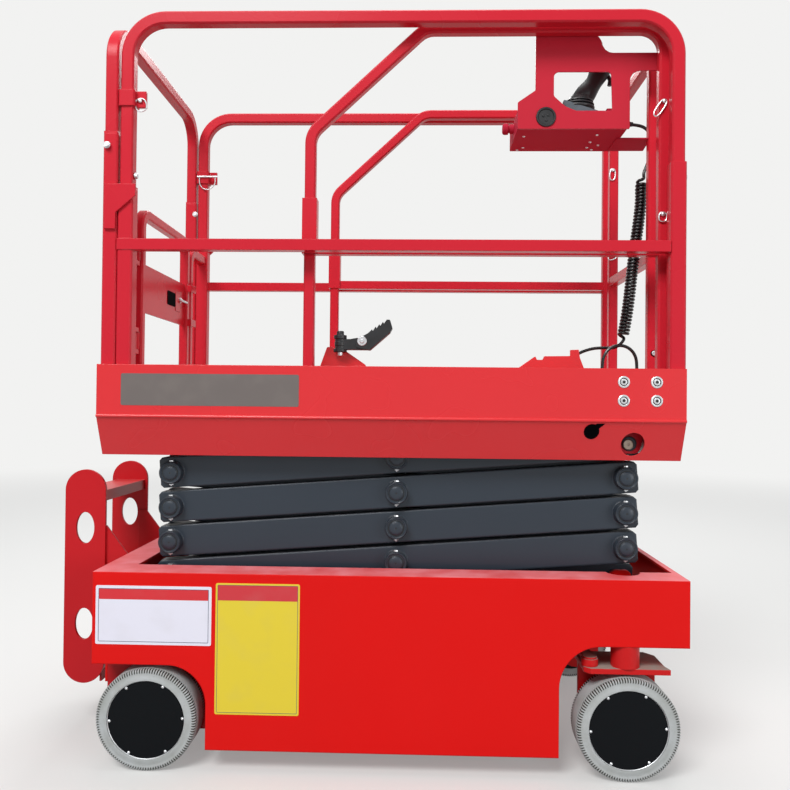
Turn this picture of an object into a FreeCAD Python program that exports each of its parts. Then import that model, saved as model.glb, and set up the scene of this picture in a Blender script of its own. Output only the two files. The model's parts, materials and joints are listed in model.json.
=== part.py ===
import FreeCAD, Part
import math
import os

V = FreeCAD.Vector

# Small self-propelled scissor lift, stowed. Millimetres, +Z up, +X towards the steered wheels.
# The chassis centre is the modelling origin; every piece is moved by ORIGIN_SHIFT when it is
# written, so that the written part stands centred on its own footprint.

# Clearances and plate thicknesses
RUN = 0.05            # radial clearance of a pin in its bore
SEAT = 0.3            # gap between a seated piece and its seat
SIDE_GAP = 6.0        # between pieces that pass each other
PLATE = 6.0           # chassis plate
SHEET = 4.0           # platform sheet

# Chassis
CHASSIS_LEN = 1352.0
CHASSIS_WIDTH = 744.0
CHASSIS_TOP = 448.0
WELL = 82.0           # depth of the deck inside the chassis, under the arms
BELLY_Z = 48.0        # lowest edge of the skirts between the wheels
SKIRT_REAR = 135.0    # skirt's rear end from the rear axle
SKIRT_FRONT = 154.0   # skirt's front end from the front axle
REAR_SKIRT_Z = 238.0
FRONT_SKIRT_Z = 298.0
REAR_ARCH_R = 90.0
FRONT_ARCH_R = 95.0
FLANGE = 88.0         # width of the folded top flange
REAR_FLANGE = 74.0
FRONT_FLANGE = 14.0
RECESS_R = 39.0       # half-round recess in the flange over the front pivot
RECESS_BACK = 10.0    # behind the pivot
REAR_PLATE_Z = 170.0  # lower edge of the rear end plate between the wheels
BAY_WALL = 41.0       # wall in front of the battery bay, from the skirt's front end
BAY_EDGE = 55.0       # frame left round the opening over the steering bay
BLOCK_GAP = 60.0      # battery block from the bay's end walls
BLOCK_SIDE = 20.0     # and from its side walls
BLOCK_H = 240.0

# Wheels
WHEEL_D = 230.0
WHEEL_W = 80.0
WHEEL_PROUD = 8.0     # wheel face outside the chassis side
REAR_AXLE = 128.0     # axles from the chassis ends
FRONT_AXLE = 136.0
CAP_R = 89.0
CAP_DEEP = 4.0        # cap plate below the tyre's face
RIM_T = 11.0
DISH = 40.0           # wheel's inner floor below its face
AXLE_R = 22.0
AXLE_SHORT = 22.0     # axle end below the wheel's face
TYRE_BEVEL = 5.0
HUB_GAP = 8.0         # wheel to the plate that carries it
HUB_PLATE_T = 12.0
MOTOR_R = 52.0
MOTOR_LEN = 76.0
AXLE_FLANGE_T = 14.0

# Steering
KING_R = 32.0         # kingpin housing
KING_WALL = 6.0
KING_PIN_R = 18.0
KNUCKLE_Z = 236.0     # underside of the knuckle's top plate
KNUCKLE_T = 12.0
KNUCKLE_BACK = 96.0
KNUCKLE_FRONT = 95.0
KNUCKLE_IN = 100.0
KNUCKLE_OUT = 28.0
KNUCKLE_CUT = 26.0    # corner cut off the top plate
LINK_BACK = 80.0      # link pin behind the kingpin
LINK_R = 11.0
LINK_EYE_R = 19.0
LINK_EYE_T = 16.0
LINK_HEAD_R = 16.0
LINK_HEAD_T = 4.0
TIE_R = 13.0
TIE_LIFT = 5.0        # bar clear of the knuckle plates

# Scissor arms
LEVELS = 4
PIN_BACK = 146.0      # rear pins from the chassis end
PIN_FRONT = 118.0     # front pins from the chassis end
PIN_OVER_DECK = 51.5
LEVEL_RISE = 83.2     # height of one folded level
ARM_H = 74.0
ARM_T = 40.0
ARM_WALL = 5.0
ARM_END = 31.0        # arm past its end pin
ARM_CORNER = 7.0
ARM_SIDE = 114.0      # outer arms inside the chassis side
BOSS_STAND = 22.0     # boss proud of the outer face
BOSS_R = 27.0
PIN_R = 17.0
PIN_PROUD = 2.0
TIE_TUBE_R = 21.0     # cross tube of an inner frame
TIE_TUBE_IN = 75.6    # cross tube from its arm's end pin
BRACKET_LUG = 14.0    # lugs that carry the lowest inner arms
TOP_LUG = 10.0        # lugs under the deck
ROLLER_R = 20.0
ROLLER_W = 20.0
CHANNEL_T = 4.0
CHANNEL_GAP = 0.4
CHANNEL_BACK = 36.0   # behind the stowed roller
CHANNEL_LEN = 462.0
CHANNEL_FLANGE = 23.0
CHANNEL_SIDE = 4.0    # channel's edge from the bosses

# Lift cylinder, between the first and the second inner frame
BARREL_R = 30.0
ROD_R = 18.0
BARREL_START = 44.0
BARREL_SHORT = 65.0   # barrel's end from the rod's eye
ROD_START = 94.0
CYL_EYE_R = 33.0
CYL_EYE_W = 56.0
ROD_EYE_R = 27.0
ROD_EYE_W = 44.0
HEAD_IN = 75.6        # rod's eye from the second inner frame's end pin, and below its middle line
HEAD_N = -28.0
LUG_TUBE_R = 18.0     # cross tube that carries the eye's lugs
LUG_TUBE_IN = 175.6
LUG_TUBE_N = 22.0
LUG_T = 10.0
LUG_GAP = 6.0

# Platform
DECK_OVER_PIN = 52.7  # deck over the highest pins
PLAT_REAR = 7.0       # platform's end behind the chassis end
PLAT_FRONT = 3.0      # platform's end short of the chassis end
PLAT_SIDE = 22.0      # platform inside the chassis side
TOE = 121.0           # toe board over the deck
SKIRT = 91.0          # turned-in skirt under the deck
SKIRT_IN = 40.0
PIVOT_HOLE_R = 27.0
SILL_H = 29.0         # rear toe board, lowered at the entry

# Guard rails
TUBE = 30.0
POST_TUBE = 36.0      # lower posts and the front legs' sleeves
TUBE_WALL = 2.5
TUBE_CORNER = 3.5     # bevelled tube edges
RAIL_IN = 26.0        # rail's middle inside the platform side
RAIL_H = 936.0        # over the deck
RAIL_BEND = 88.0      # bend radius on the tube's centre line
MID_H = 402.0
MID_TUBE = 26.0
MID_WALL = 2.0
MID_PROUD = 1.5       # middle rail's outer face over the rear post's
REAR_POST = 58.0      # posts from the platform ends
FRONT_POST = 17.0
REAR_FOLD = 140.0     # hinge lines over the middle rail
END_FOLD = 266.0
POST_CAP = 6.0
LEG_SLEEVE = 195.0    # top of the front leg's sleeve over the middle rail
CLAMP = (185.0, 223.0)        # clamp on the rear leg, over its hinge line
CLAMP_T = 4.0
CLAMP_TAB = 23.0
END_TUBE = 30.0       # rear end frame
END_POST_TUBE = 34.0  # its lower posts
END_TOP = 11.0        # under the top rail
END_BEND = 80.0
BRACE_T = 5.0         # stepped plate between the lower rear posts
BRACE_X = (-11.0, -21.0, 26.0)        # from the end post's middle, then twice from the rear post's
BRACE_Z = (-105.0, -67.0, -27.0)      # from the rear post's top
GATE_HINGE = 62.0     # hinge line inside the rail
GATE_END_Y = 130.0
GATE_TOP = 502.0      # over the deck
GATE_LOW = 47.0
GATE_TUBE = 24.0
GATE_BEND = 40.0
GATE_STILE = 22.0     # near stile from the hinge pin
GATE_PANEL = (257.0, 377.0)   # lower and upper edge, over the deck
GATE_SHEET = 6.0
GATE_SLOT = (30.0, 44.0)      # hand slot, wide and high
GATE_SLOT_IN = 50.0           # from the panel's free edge
LATCH_T = 4.0
LATCH_H = 20.0
LATCH_PAST = 8.0      # latch past the entry post's middle
HINGES = (182.0, 397.0)       # over the deck
HINGE_PIN_R = 5.0
HINGE_BARREL_R = 9.0
HINGE_HALF = 20.0     # half of the barrel's length
HINGE_LEAF = 11.0
ENTRY_GAP = 7.0       # gate's free stile to the entry post
ENTRY_TUBE = 26.0
ENTRY_TOP = 482.0     # over the deck

# Sliding extension deck
STRIP = 6.0           # wear strip
STRIP_W = 40.0
STRIP_IN = 10.0
EXT_LEN = 871.0
EXT_FRONT = 18.0      # from the platform's front end
EXT_SIDE = 50.0       # inside the platform side
EXT_T = 5.0
EXT_RAIL_IN = 21.0    # rail's middle inside the sliding deck's edge
EXT_TUBE = 26.0
EXT_BEND = 55.0
EXT_END_BEND = 50.0
EXT_REAR_POST = 17.0  # rear post from the sliding deck's end
EXT_TOP = 4.0         # rail under the top rail
SLOPE = (272.0, 252.0)        # sloping stretch, along and down
EXT_FOLD = 157.0      # sleeve's top under the slope
SLEEVE_LEN = 132.0
SLEEVE_GAP = 4.5      # sleeve's wall over the tube
EXT_MID_TUBE = 24.0
EXT_END_TOP = 30.0    # front frame under the rail
EXT_END_IN = 82.0     # front frame's posts inside the side frames

# Control box on the extension's near rail; heights are over the box's floor
BOX_FRONT = 80.7      # behind the front post
BOX_LEN = 261.0
BOX_DEEP = 164.0
BOX_H = 64.0
BOX_DROP = 234.0      # box's floor under the rail
GUARD_T = 3.0
GUARD_TOP = 216.0
GUARD_BACK = 41.0     # guard's rear edge from the box's rear end
GUARD_STEP = (70.0, 100.0)
GUARD_NOTCH = (139.0, 175.0)
GUARD_NOTCH_BACK = 40.0
GUARD_CURVE = 24.0    # in the guard's two inner corners
WINDOW_X = (0.314, 0.839)     # share of the box's length
WINDOW_Z = (33.0, 138.0)
WINDOW_CORNER = 14.0
JOY_X = 0.598         # share of the box's length
JOY_IN = 70.0         # from its near side
JOY_BASE = 34.0       # half of its square foot, and half of the foot's top
JOY_BASE_TOP = 27.0
JOY_BASE_H = 14.0
JOY_RINGS = (25.0, 22.0, 19.0)        # bellows
JOY_RING_H = 9.0
JOY_RING_GAP = 2.0
JOY_NECK_R = 13.0
JOY_GRIP_R = 16.0
JOY_GRIP_H = 88.0
JOY_CROWN_R = 10.0
JOY_CROWN_H = 7.0
JOY_LEAN = 0.46       # sideways for each unit up
KNOB_Z = 34.0         # push knob on the box's rear end
KNOB_STEM_R = 10.0
KNOB_STEM = 12.0
KNOB_R = 17.0
KNOB_T = 14.0

# Pedal at the rear of the sliding deck and the cable's bracket at its front; heights are over the deck
PEDAL_IN = 94.0       # from the sliding deck's near edge
PEDAL_T = 20.0
PEDAL_CORNER = 4.0
BRACKET_T = 5.0
BRACKET_X = (11.0, 66.0, 121.0, 156.0)        # from the sliding deck's rear end
BRACKET_Z = (145.7, 170.7)
LEVER_X = (66.0, 136.0, 156.0, 196.0, 208.0)  # from the sliding deck's rear end
LEVER_Z = (160.7, 189.7, 215.7, 231.7)
PEDAL_BLOCK = (18.0, 74.0, 36.0)      # block behind the lever: its ends and its height over the lever's foot
TREADS = 4            # ribs on the lever's raised end
TREAD_H = 3.0
TREAD_W = 4.0
CLIP_X = (348.0, 187.0)       # from the sliding deck's front end
CLIP_IN = 110.0       # from the sliding deck's near edge
CLIP_H = 140.7
CLIP_TAB = 18.0
CLIP_TAB_W = 22.0
CLIP_SLOPE = (14.0, 90.0)

# Cable
COIL_R = 15.0
CORD_R = 4.0
CORD_SIDES = 8
GLAND_R = 9.0
GLAND_LEN = 14.0
GLAND_IN = 57.3       # from the box's far side
GLAND_UP = 50.0       # over the box's floor
UPPER_RUN = ((14.0, 0.0), (43.0, 0.0), (77.0, -8.0), (94.0, -41.0), (85.0, -88.0), (63.0, -141.0))
COIL_BOW = ((0.154, 8.5), (0.480, 4.1), (0.813, 5.1))
LOWER_RUN = ((-77.0, 197.7), (-83.0, 179.7), (-99.0, 169.7), (-122.0, 170.7), (-155.0, 168.7),
             (-189.0, 156.7), (-218.0, 134.7), (-234.0, 102.7), (-228.0, 65.7), (-198.0, 42.7),
             (-163.0, 47.7), (-141.0, 73.7), (-134.0, 110.7), (-132.0, 150.7), (-108.0, 174.7),
             (-74.0, 174.7), (-50.0, 150.7), (-48.0, 110.7), (-49.0, 63.7), (-49.0, 14.0))
LOWER_Y = (0.0, 0.0, 0.0, -1.0, -3.0, -6.0, -9.0, -12.0, -15.0, -18.0, -20.0, -22.0, -24.0, -25.0,
           -25.0, -25.0, -25.0, -25.0, -25.0, -25.0)

# Rear steps
STEP_BACK = 110.0     # middle of the side plates behind the chassis end
STEP_W = 104.5
STEP_Y = 151.0
STEP_Z0 = 117.0
STEP_Z1 = 662.0
STEP_T = 8.0
OVAL_W = 47.0
OVAL_H = 80.0
OVAL_Z = (513.0, 268.0)
RUNG_Z = (602.0, 372.0, 142.0)
RUNG_W = 22.0
RUNG_DEEP = 84.0
RUNG_T = 5.0
RUNG_IN = 8.0
STEP_WEB_UP = 70.0
STEP_WEB_LOW = 20.0
STEP_WEB_IN = 29.0    # web's edge from the middle of the side plate

HALF_LEN = CHASSIS_LEN / 2
HALF_W = CHASSIS_WIDTH / 2
DECK_TOP = CHASSIS_TOP - WELL
REAR_AXLE_X = -HALF_LEN + REAR_AXLE
FRONT_AXLE_X = HALF_LEN - FRONT_AXLE
BELLY_REAR = REAR_AXLE_X + SKIRT_REAR
BELLY_FRONT = FRONT_AXLE_X - SKIRT_FRONT
FRONT_BAY_X = BELLY_FRONT - BAY_WALL
WHEEL_R = WHEEL_D / 2
WHEEL_FACE = HALF_W + WHEEL_PROUD
KING_Y = WHEEL_FACE - WHEEL_W / 2
HUB_PLATE_Y = WHEEL_FACE - WHEEL_W - HUB_GAP
PIN_Z = DECK_TOP + PIN_OVER_DECK
PIN_LEFT = -HALF_LEN + PIN_BACK
PIN_RIGHT = HALF_LEN - PIN_FRONT
ARM_SPAN = PIN_RIGHT - PIN_LEFT
PIN_MID = (PIN_LEFT + PIN_RIGHT) / 2
CHANNEL_X0 = PIN_LEFT - CHANNEL_BACK
CHANNEL_X1 = CHANNEL_X0 + CHANNEL_LEN
ARM_OUT_Y = HALF_W - ARM_SIDE
ARM_IN_Y = ARM_OUT_Y - ARM_T
INNER_OUT_Y = ARM_IN_Y - SIDE_GAP
INNER_IN_Y = INNER_OUT_Y - ARM_T
BOSS_Y = ARM_OUT_Y + BOSS_STAND
DECK_Z = PIN_Z + LEVELS * LEVEL_RISE + DECK_OVER_PIN
PLAT_X0 = -HALF_LEN - PLAT_REAR
PLAT_X1 = HALF_LEN - PLAT_FRONT
PLAT_Y = HALF_W - PLAT_SIDE
PLAT_TOP = DECK_Z + TOE
RAIL_Y = PLAT_Y - RAIL_IN
RAIL_Z = DECK_Z + RAIL_H
MID_Z = DECK_Z + MID_H
REAR_POST_X = PLAT_X0 + REAR_POST
FRONT_POST_X = PLAT_X1 - FRONT_POST
REAR_FOLD_Z = MID_Z + REAR_FOLD
END_POST_X = PLAT_X0 + SHEET + SEAT + END_POST_TUBE / 2
END_TOP_Z = RAIL_Z - END_TOP
END_FOLD_Z = MID_Z + END_FOLD
GATE_HINGE_Y = -RAIL_Y + GATE_HINGE
ENTRY_POST_Y = GATE_END_Y + GATE_TUBE / 2 + ENTRY_GAP + ENTRY_TUBE / 2
EXT_FLOOR = DECK_Z + STRIP + SEAT + EXT_T
EXT_X1 = PLAT_X1 - EXT_FRONT
EXT_X0 = EXT_X1 - EXT_LEN
EXT_Y = PLAT_Y - EXT_SIDE
EXT_RAIL_Y = EXT_Y - EXT_RAIL_IN
EXT_REAR_X = EXT_X0 + EXT_REAR_POST
EXT_FRONT_X = EXT_X1 - SHEET - SEAT - EXT_TUBE / 2
EXT_TOP_Z = RAIL_Z - EXT_TOP
SLOPE_HIGH_X = EXT_REAR_X + SLOPE[0]
SLOPE_LOW_Z = EXT_TOP_Z - SLOPE[1]
EXT_FOLD_Z = SLOPE_LOW_Z - EXT_FOLD
BOX_X1 = EXT_FRONT_X - BOX_FRONT
BOX_X0 = BOX_X1 - BOX_LEN
BOX_Z0 = EXT_TOP_Z - BOX_DROP
BOX_Y0 = -EXT_RAIL_Y + EXT_TUBE / 2 + SEAT + GUARD_T
GLAND_Y = BOX_Y0 + BOX_DEEP - GLAND_IN
GLAND_Z = BOX_Z0 + GLAND_UP
STEP_X = -HALF_LEN - STEP_BACK
REAR_END = STEP_X - STEP_W / 2
FRONT_END = max(HALF_LEN, FRONT_POST_X + POST_TUBE / 2)
ORIGIN_SHIFT = -(REAR_END + FRONT_END) / 2
SIDES = ((-1, "near"), (1, "far"))


def box(x0, x1, y0, y1, z0, z1):
    return Part.makeBox(x1 - x0, y1 - y0, z1 - z0, V(x0, y0, z0))


def side_box(side, x0, x1, y0, y1, z0, z1):
    """A box on one side; y0 and y1 are distances from the middle plane."""
    if side > 0:
        return box(x0, x1, y0, y1, z0, z1)
    return box(x0, x1, -y1, -y0, z0, z1)


def cyl_y(x, z, r, y0, y1):
    low, high = min(y0, y1), max(y0, y1)
    return Part.makeCylinder(r, high - low, V(x, low, z), V(0, 1, 0))


def cyl_z(x, y, r, z0, z1):
    return Part.makeCylinder(r, z1 - z0, V(x, y, z0), V(0, 0, 1))


def cyl_x(y, z, r, x0, x1):
    return Part.makeCylinder(r, x1 - x0, V(x0, y, z), V(1, 0, 0))


def fuse(shapes):
    shapes = list(shapes)
    return shapes[0].multiFuse(shapes[1:]).removeSplitter() if len(shapes) > 1 else shapes[0]


def rounded(points, plane):
    """Closed wire through points (a, b, corner radius); plane maps (a, b) to a vector."""
    corners = [(plane(a, b), r) for a, b, r in points]
    count = len(corners)
    edges = []
    ends = []
    for i, (here, r) in enumerate(corners):
        back = corners[i - 1][0] - here
        on = corners[(i + 1) % count][0] - here
        if r == 0:
            ends.append((here, here, None))
            continue
        back.normalize()
        on.normalize()
        half = math.acos(max(-1.0, min(1.0, back.dot(on)))) / 2
        reach = r / math.tan(half)
        bisect = back + on
        bisect.normalize()
        centre = here + bisect * (r / math.sin(half))
        ends.append((here + back * reach, here + on * reach, centre - bisect * r))
    for i, (start, stop, middle) in enumerate(ends):
        if middle is not None:
            edges.append(Part.Arc(start, middle, stop).toShape())
        following = ends[(i + 1) % count][0]
        if (following - stop).Length > 1e-6:
            edges.append(Part.LineSegment(stop, following).toShape())
    return Part.Wire(edges)


def prism_y(points, y0, y1):
    """Outline in X and Z (with corner radii), as thick as y0 to y1."""
    low, high = min(y0, y1), max(y0, y1)
    wire = rounded(points, lambda a, b: V(a, low, b))
    return Part.Face(wire).extrude(V(0, high - low, 0))


def prism_x(points, x0, x1):
    """Outline in Y and Z (with corner radii), as long as x0 to x1."""
    wire = rounded(points, lambda a, b: V(x0, a, b))
    return Part.Face(wire).extrude(V(x1 - x0, 0, 0))


def prism_z(points, z0, z1):
    """Outline in X and Y (with corner radii), as high as z0 to z1."""
    wire = rounded(points, lambda a, b: V(a, b, z0))
    return Part.Face(wire).extrude(V(0, 0, z1 - z0))


def bent_wire(points, bend):
    """Straight runs through points, joined by arcs of the bend radius."""
    edges = []
    start = points[0]
    for i in range(1, len(points) - 1):
        here = points[i]
        back = points[i - 1] - here
        on = points[i + 1] - here
        back.normalize()
        on.normalize()
        half = math.acos(max(-1.0, min(1.0, back.dot(on)))) / 2
        reach = bend / math.tan(half)
        bisect = back + on
        bisect.normalize()
        middle = here + bisect * (bend / math.sin(half) - bend)
        edges.append(Part.LineSegment(start, here + back * reach).toShape())
        edges.append(Part.Arc(here + back * reach, middle, here + on * reach).toShape())
        start = here + on * reach
    edges.append(Part.LineSegment(start, points[-1]).toShape())
    return Part.Wire(edges)


def square(centre, along, across, size, bevel):
    """Square wire about centre, square to along, one side parallel to across, its edges bevelled."""
    side = V(across)
    side.normalize()
    other = V(along)
    other.normalize()
    other = other.cross(side)
    h = size / 2
    c = h - bevel
    if bevel == 0:
        corners = [(-h, -h), (h, -h), (h, h), (-h, h)]
    else:
        corners = [(-c, -h), (c, -h), (h, -c), (h, c), (c, h), (-c, h), (-h, c), (-h, -c)]
    points = [centre + side * a + other * b for a, b in corners]
    return Part.makePolygon(points + points[:1])


def square_tube(points, bend, size, across, bevel=TUBE_CORNER, wall=TUBE_WALL):
    """Hollow square tube, open at both ends, along a path in one plane."""
    points = [V(*p) for p in points]
    path = bent_wire(points, bend)
    along = points[1] - points[0]
    skin = path.makePipeShell([square(points[0], along, V(*across), size, bevel)], True, False)
    core = path.makePipeShell([square(points[0], along, V(*across), size - 2 * wall, 0)], True, False)
    return skin.cut(core)


def mirrored(shape):
    return shape.mirror(V(0, 0, 0), V(0, 1, 0))


def both_sides(shape):
    return Part.makeCompound([shape, mirrored(shape)])


def pin_z(level):
    """Height of the end pins above the given number of levels."""
    return PIN_Z + LEVEL_RISE * level


ROLLER_OUT = BOSS_Y + CHANNEL_SIDE + CHANNEL_FLANGE - PIN_PROUD
ARM_ANGLE = math.asin(LEVEL_RISE / math.hypot(ARM_SPAN, LEVEL_RISE))
ARM_LEN = math.hypot(ARM_SPAN, LEVEL_RISE)
TIE_TUBE_S = ARM_LEN / 2 - TIE_TUBE_IN
HEAD_S = ARM_LEN / 2 - HEAD_IN
LUG_TUBE_S = ARM_LEN / 2 - LUG_TUBE_IN


def along_inner(level, s, n=0.0):
    """Point beside an inner arm's middle: s towards its upper rear end, n square to it, upwards."""
    z = pin_z(level) + LEVEL_RISE / 2
    return (PIN_MID - s * math.cos(ARM_ANGLE) + n * math.sin(ARM_ANGLE),
            z + s * math.sin(ARM_ANGLE) + n * math.cos(ARM_ANGLE))


# Chassis

def chassis():
    """Folded shell: side skirts with wheel arches, top flanges and the two end plates."""
    h, w = HALF_LEN, HALF_W
    outline = [(-h, CHASSIS_TOP, 0), (-h, REAR_SKIRT_Z, 0), (BELLY_REAR, REAR_SKIRT_Z, REAR_ARCH_R),
               (BELLY_REAR, BELLY_Z, 0), (BELLY_FRONT, BELLY_Z, 0),
               (BELLY_FRONT, FRONT_SKIRT_Z, FRONT_ARCH_R), (h, FRONT_SKIRT_Z, 0), (h, CHASSIS_TOP, 0)]
    inner = w - PLATE
    low = CHASSIS_TOP - PLATE
    pieces = []
    for side, _ in SIDES:
        pieces.append(prism_y(outline, side * inner, side * w))
        flange = side_box(side, -h, h, w - FLANGE, w, low, CHASSIS_TOP)
        recess = cyl_z(PIN_RIGHT - RECESS_BACK, side * (w - FLANGE), RECESS_R, low - 1, CHASSIS_TOP + 1)
        pieces.append(flange.cut(recess))
    pieces.append(box(-h, -h + PLATE, -inner, inner, REAR_SKIRT_Z, CHASSIS_TOP))
    pieces.append(box(-h, -h + PLATE, -HUB_PLATE_Y, HUB_PLATE_Y, REAR_PLATE_Z, CHASSIS_TOP))
    pieces.append(box(h - PLATE, h, -inner, inner, FRONT_SKIRT_Z, CHASSIS_TOP))
    pieces.append(box(-h, -h + REAR_FLANGE, -inner, inner, low, CHASSIS_TOP))
    pieces.append(box(h - FRONT_FLANGE, h, -inner, inner, low, CHASSIS_TOP))
    return fuse(pieces)


def chassis_deck():
    """Deck under the arms with the bay walls, wheel plates and kingpin housings welded below it."""
    x0, x1 = -HALF_LEN + PLATE, HALF_LEN - PLATE
    inner = HALF_W - PLATE
    low = DECK_TOP - PLATE
    wall = BELLY_REAR + PLATE
    pieces = [box(x0, x1, -inner, inner, low, DECK_TOP),
              box(BELLY_REAR, wall, -inner, inner, BELLY_Z + PLATE, low),
              box(FRONT_BAY_X - PLATE, FRONT_BAY_X, -inner, inner, BELLY_Z + PLATE, low)]
    floor = box(FRONT_BAY_X, x1, -inner, inner, FRONT_SKIRT_Z, FRONT_SKIRT_Z + PLATE)
    window = box(FRONT_BAY_X + BAY_EDGE, x1 - BAY_EDGE, -HALF_W / 2, HALF_W / 2, 0, low)
    pieces.append(floor.cut(window))
    for side, _ in SIDES:
        plate_in = HUB_PLATE_Y - HUB_PLATE_T
        pieces.append(side_box(side, x0, wall, plate_in, inner, REAR_SKIRT_Z + PLATE, REAR_SKIRT_Z + 2 * PLATE))
        hub_plate = side_box(side, x0, wall, plate_in, HUB_PLATE_Y, WHEEL_R - MOTOR_R, low)
        pieces.append(hub_plate.cut(cyl_y(REAR_AXLE_X, WHEEL_R, AXLE_R + SEAT, 0, side * HALF_W)))
        housing = cyl_z(FRONT_AXLE_X, side * KING_Y, KING_R + KING_WALL, FRONT_SKIRT_Z, low)
        pieces.append(housing.common(side_box(side, FRONT_BAY_X, x1, 0, inner, 0, DECK_TOP)))
    bores = [cyl_z(FRONT_AXLE_X, side * KING_Y, KING_PIN_R + RUN, FRONT_SKIRT_Z - 1, low - KING_WALL)
             for side, _ in SIDES]
    return fuse(pieces).cut(Part.makeCompound(bores))


def belly_pan():
    inner = HALF_W - PLATE - SEAT
    return box(BELLY_REAR + SEAT, FRONT_BAY_X - SEAT, -inner, inner, BELLY_Z, BELLY_Z + PLATE)


def battery_block():
    inner = HALF_W - PLATE - BLOCK_SIDE
    z0 = BELLY_Z + PLATE
    return box(BELLY_REAR + BLOCK_GAP, FRONT_BAY_X - BLOCK_GAP, -inner, inner, z0, z0 + BLOCK_H)


def lug(x, z, foot, y0, y1):
    """Tapered plate from its foot to a rounded head about the pin at x, z."""
    reach = math.copysign(PIN_R + SIDE_GAP, z - foot)
    wide, narrow = 2.4 * PIN_R, 1.4 * PIN_R
    return prism_y([(x - wide, foot, 0), (x + wide, foot, 0), (x + narrow, z + reach, PIN_R),
                    (x - narrow, z + reach, PIN_R)], y0, y1)


def pivot_brackets():
    """Two lugs each side of the lowest inner arm's front end, standing on the deck, with their pin."""
    z = pin_z(0)
    pieces = []
    for side, _ in SIDES:
        y_in, y_out = INNER_IN_Y - SIDE_GAP, INNER_OUT_Y + 1
        pieces.append(fuse([lug(PIN_RIGHT, z, DECK_TOP, side * (y_in - BRACKET_LUG), side * y_in),
                            lug(PIN_RIGHT, z, DECK_TOP, side * y_out, side * (y_out + BRACKET_LUG)),
                            cyl_y(PIN_RIGHT, z, PIN_R, side * y_in, side * y_out)]))
    return Part.makeCompound(pieces)


def channel(z, web_to):
    """Channel open towards the arms; its web runs on to the deck that carries it."""
    inside = ROLLER_R + CHANNEL_GAP
    y0 = BOSS_Y + CHANNEL_SIDE
    y1 = y0 + CHANNEL_FLANGE
    low, high = z - inside - CHANNEL_T, z + inside + CHANNEL_T
    web = side_box(1, CHANNEL_X0, CHANNEL_X1, y1, y1 + CHANNEL_T, min(low, web_to), max(high, web_to))
    lower = side_box(1, CHANNEL_X0, CHANNEL_X1, y0, y1, low, low + CHANNEL_T)
    upper = side_box(1, CHANNEL_X0, CHANNEL_X1, y0, y1, high - CHANNEL_T, high)
    return both_sides(fuse([web, lower, upper]))


def rear_axles():
    """Stub axle with its flange, bolted through each rear hub plate."""
    pieces = []
    for side, _ in SIDES:
        y1 = side * (HUB_PLATE_Y - HUB_PLATE_T)
        y0 = y1 - side * AXLE_FLANGE_T
        flange = cyl_y(REAR_AXLE_X, WHEEL_R, MOTOR_R, y0, y1)
        pieces.append(flange.fuse(cyl_y(REAR_AXLE_X, WHEEL_R, AXLE_R, y0, side * (WHEEL_FACE - AXLE_SHORT))))
    return Part.makeCompound(pieces)


def steps():
    """Two side plates with oval hand holes, angle rungs between them and webs to the chassis."""
    pieces = []
    r = STEP_W / 2
    for side, _ in SIDES:
        plate = prism_y([(STEP_X - r, STEP_Z0, r - 0.01), (STEP_X + r, STEP_Z0, r - 0.01),
                         (STEP_X + r, STEP_Z1, r - 0.01), (STEP_X - r, STEP_Z1, r - 0.01)],
                        side * STEP_Y, side * (STEP_Y + STEP_T))
        for z in OVAL_Z:
            hole = Part.Ellipse(V(0, 0, 0), OVAL_H / 2, OVAL_W / 2).toShape()
            hole = Part.Face(Part.Wire([hole])).extrude(V(0, 0, 4 * STEP_T))
            hole.rotate(V(0, 0, 0), V(0, 0, 1), 90)
            hole.rotate(V(0, 0, 0), V(1, 0, 0), 90)
            hole.translate(V(STEP_X, side * STEP_Y + 2 * STEP_T, z))
            plate = plate.cut(hole)
        pieces.append(plate)
        x1 = -HALF_LEN
        web_top = CHASSIS_TOP + STEP_WEB_UP
        x0 = STEP_X + STEP_WEB_IN
        web = prism_y([(x0, REAR_SKIRT_Z + STEP_WEB_LOW, 0), (x1, REAR_SKIRT_Z, 0),
                       (x1, CHASSIS_TOP - PLATE, 0), (STEP_X + r, web_top, 0), (x0, web_top, 0)],
                      side * (STEP_Y - PLATE), side * STEP_Y)
        pieces.append(web)
    x1 = STEP_X + r - RUNG_IN
    for z in RUNG_Z:
        pieces.append(box(x1 - RUNG_DEEP, x1, -STEP_Y, STEP_Y, z, z + RUNG_T))
        pieces.append(box(x1 - RUNG_T, x1, -STEP_Y, STEP_Y, z - RUNG_W, z))
    return fuse(pieces)


# Wheels and steering

def turned(points, x, side):
    """Profile (distance from the middle plane, radius) turned about a wheel's axle."""
    corners = [V(0, side * a, b) for a, b in points]
    ring = Part.Face(Part.makePolygon(corners + corners[:1])).revolve(V(0, 0, 0), V(0, 1, 0), 360)
    ring.translate(V(x, 0, WHEEL_R))
    return ring


def tyre(x, side):
    """Solid tyre with bevelled shoulders."""
    y_in, y_out = WHEEL_FACE - WHEEL_W, WHEEL_FACE
    r0, r1 = CAP_R + SEAT, WHEEL_R
    b = TYRE_BEVEL
    points = [(y_in, r0), (y_in, r1 - b), (y_in + b, r1), (y_out - b, r1), (y_out, r1 - b), (y_out, r0)]
    return turned(points, x, side)


def wheel_centre(x, side):
    """Steel centre: cap plate set into the tyre's face, dished behind, with a bored hub."""
    y_in, y_out = WHEEL_FACE - WHEEL_W, WHEEL_FACE
    bore = AXLE_R + RUN
    return turned([(y_out - CAP_DEEP, 0), (y_out - CAP_DEEP, CAP_R), (y_in, CAP_R), (y_in, CAP_R - RIM_T),
                   (y_out - DISH, CAP_R - RIM_T), (y_out - DISH, bore), (y_out - AXLE_SHORT + 2, bore),
                   (y_out - AXLE_SHORT + 2, 0)], x, side)


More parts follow.
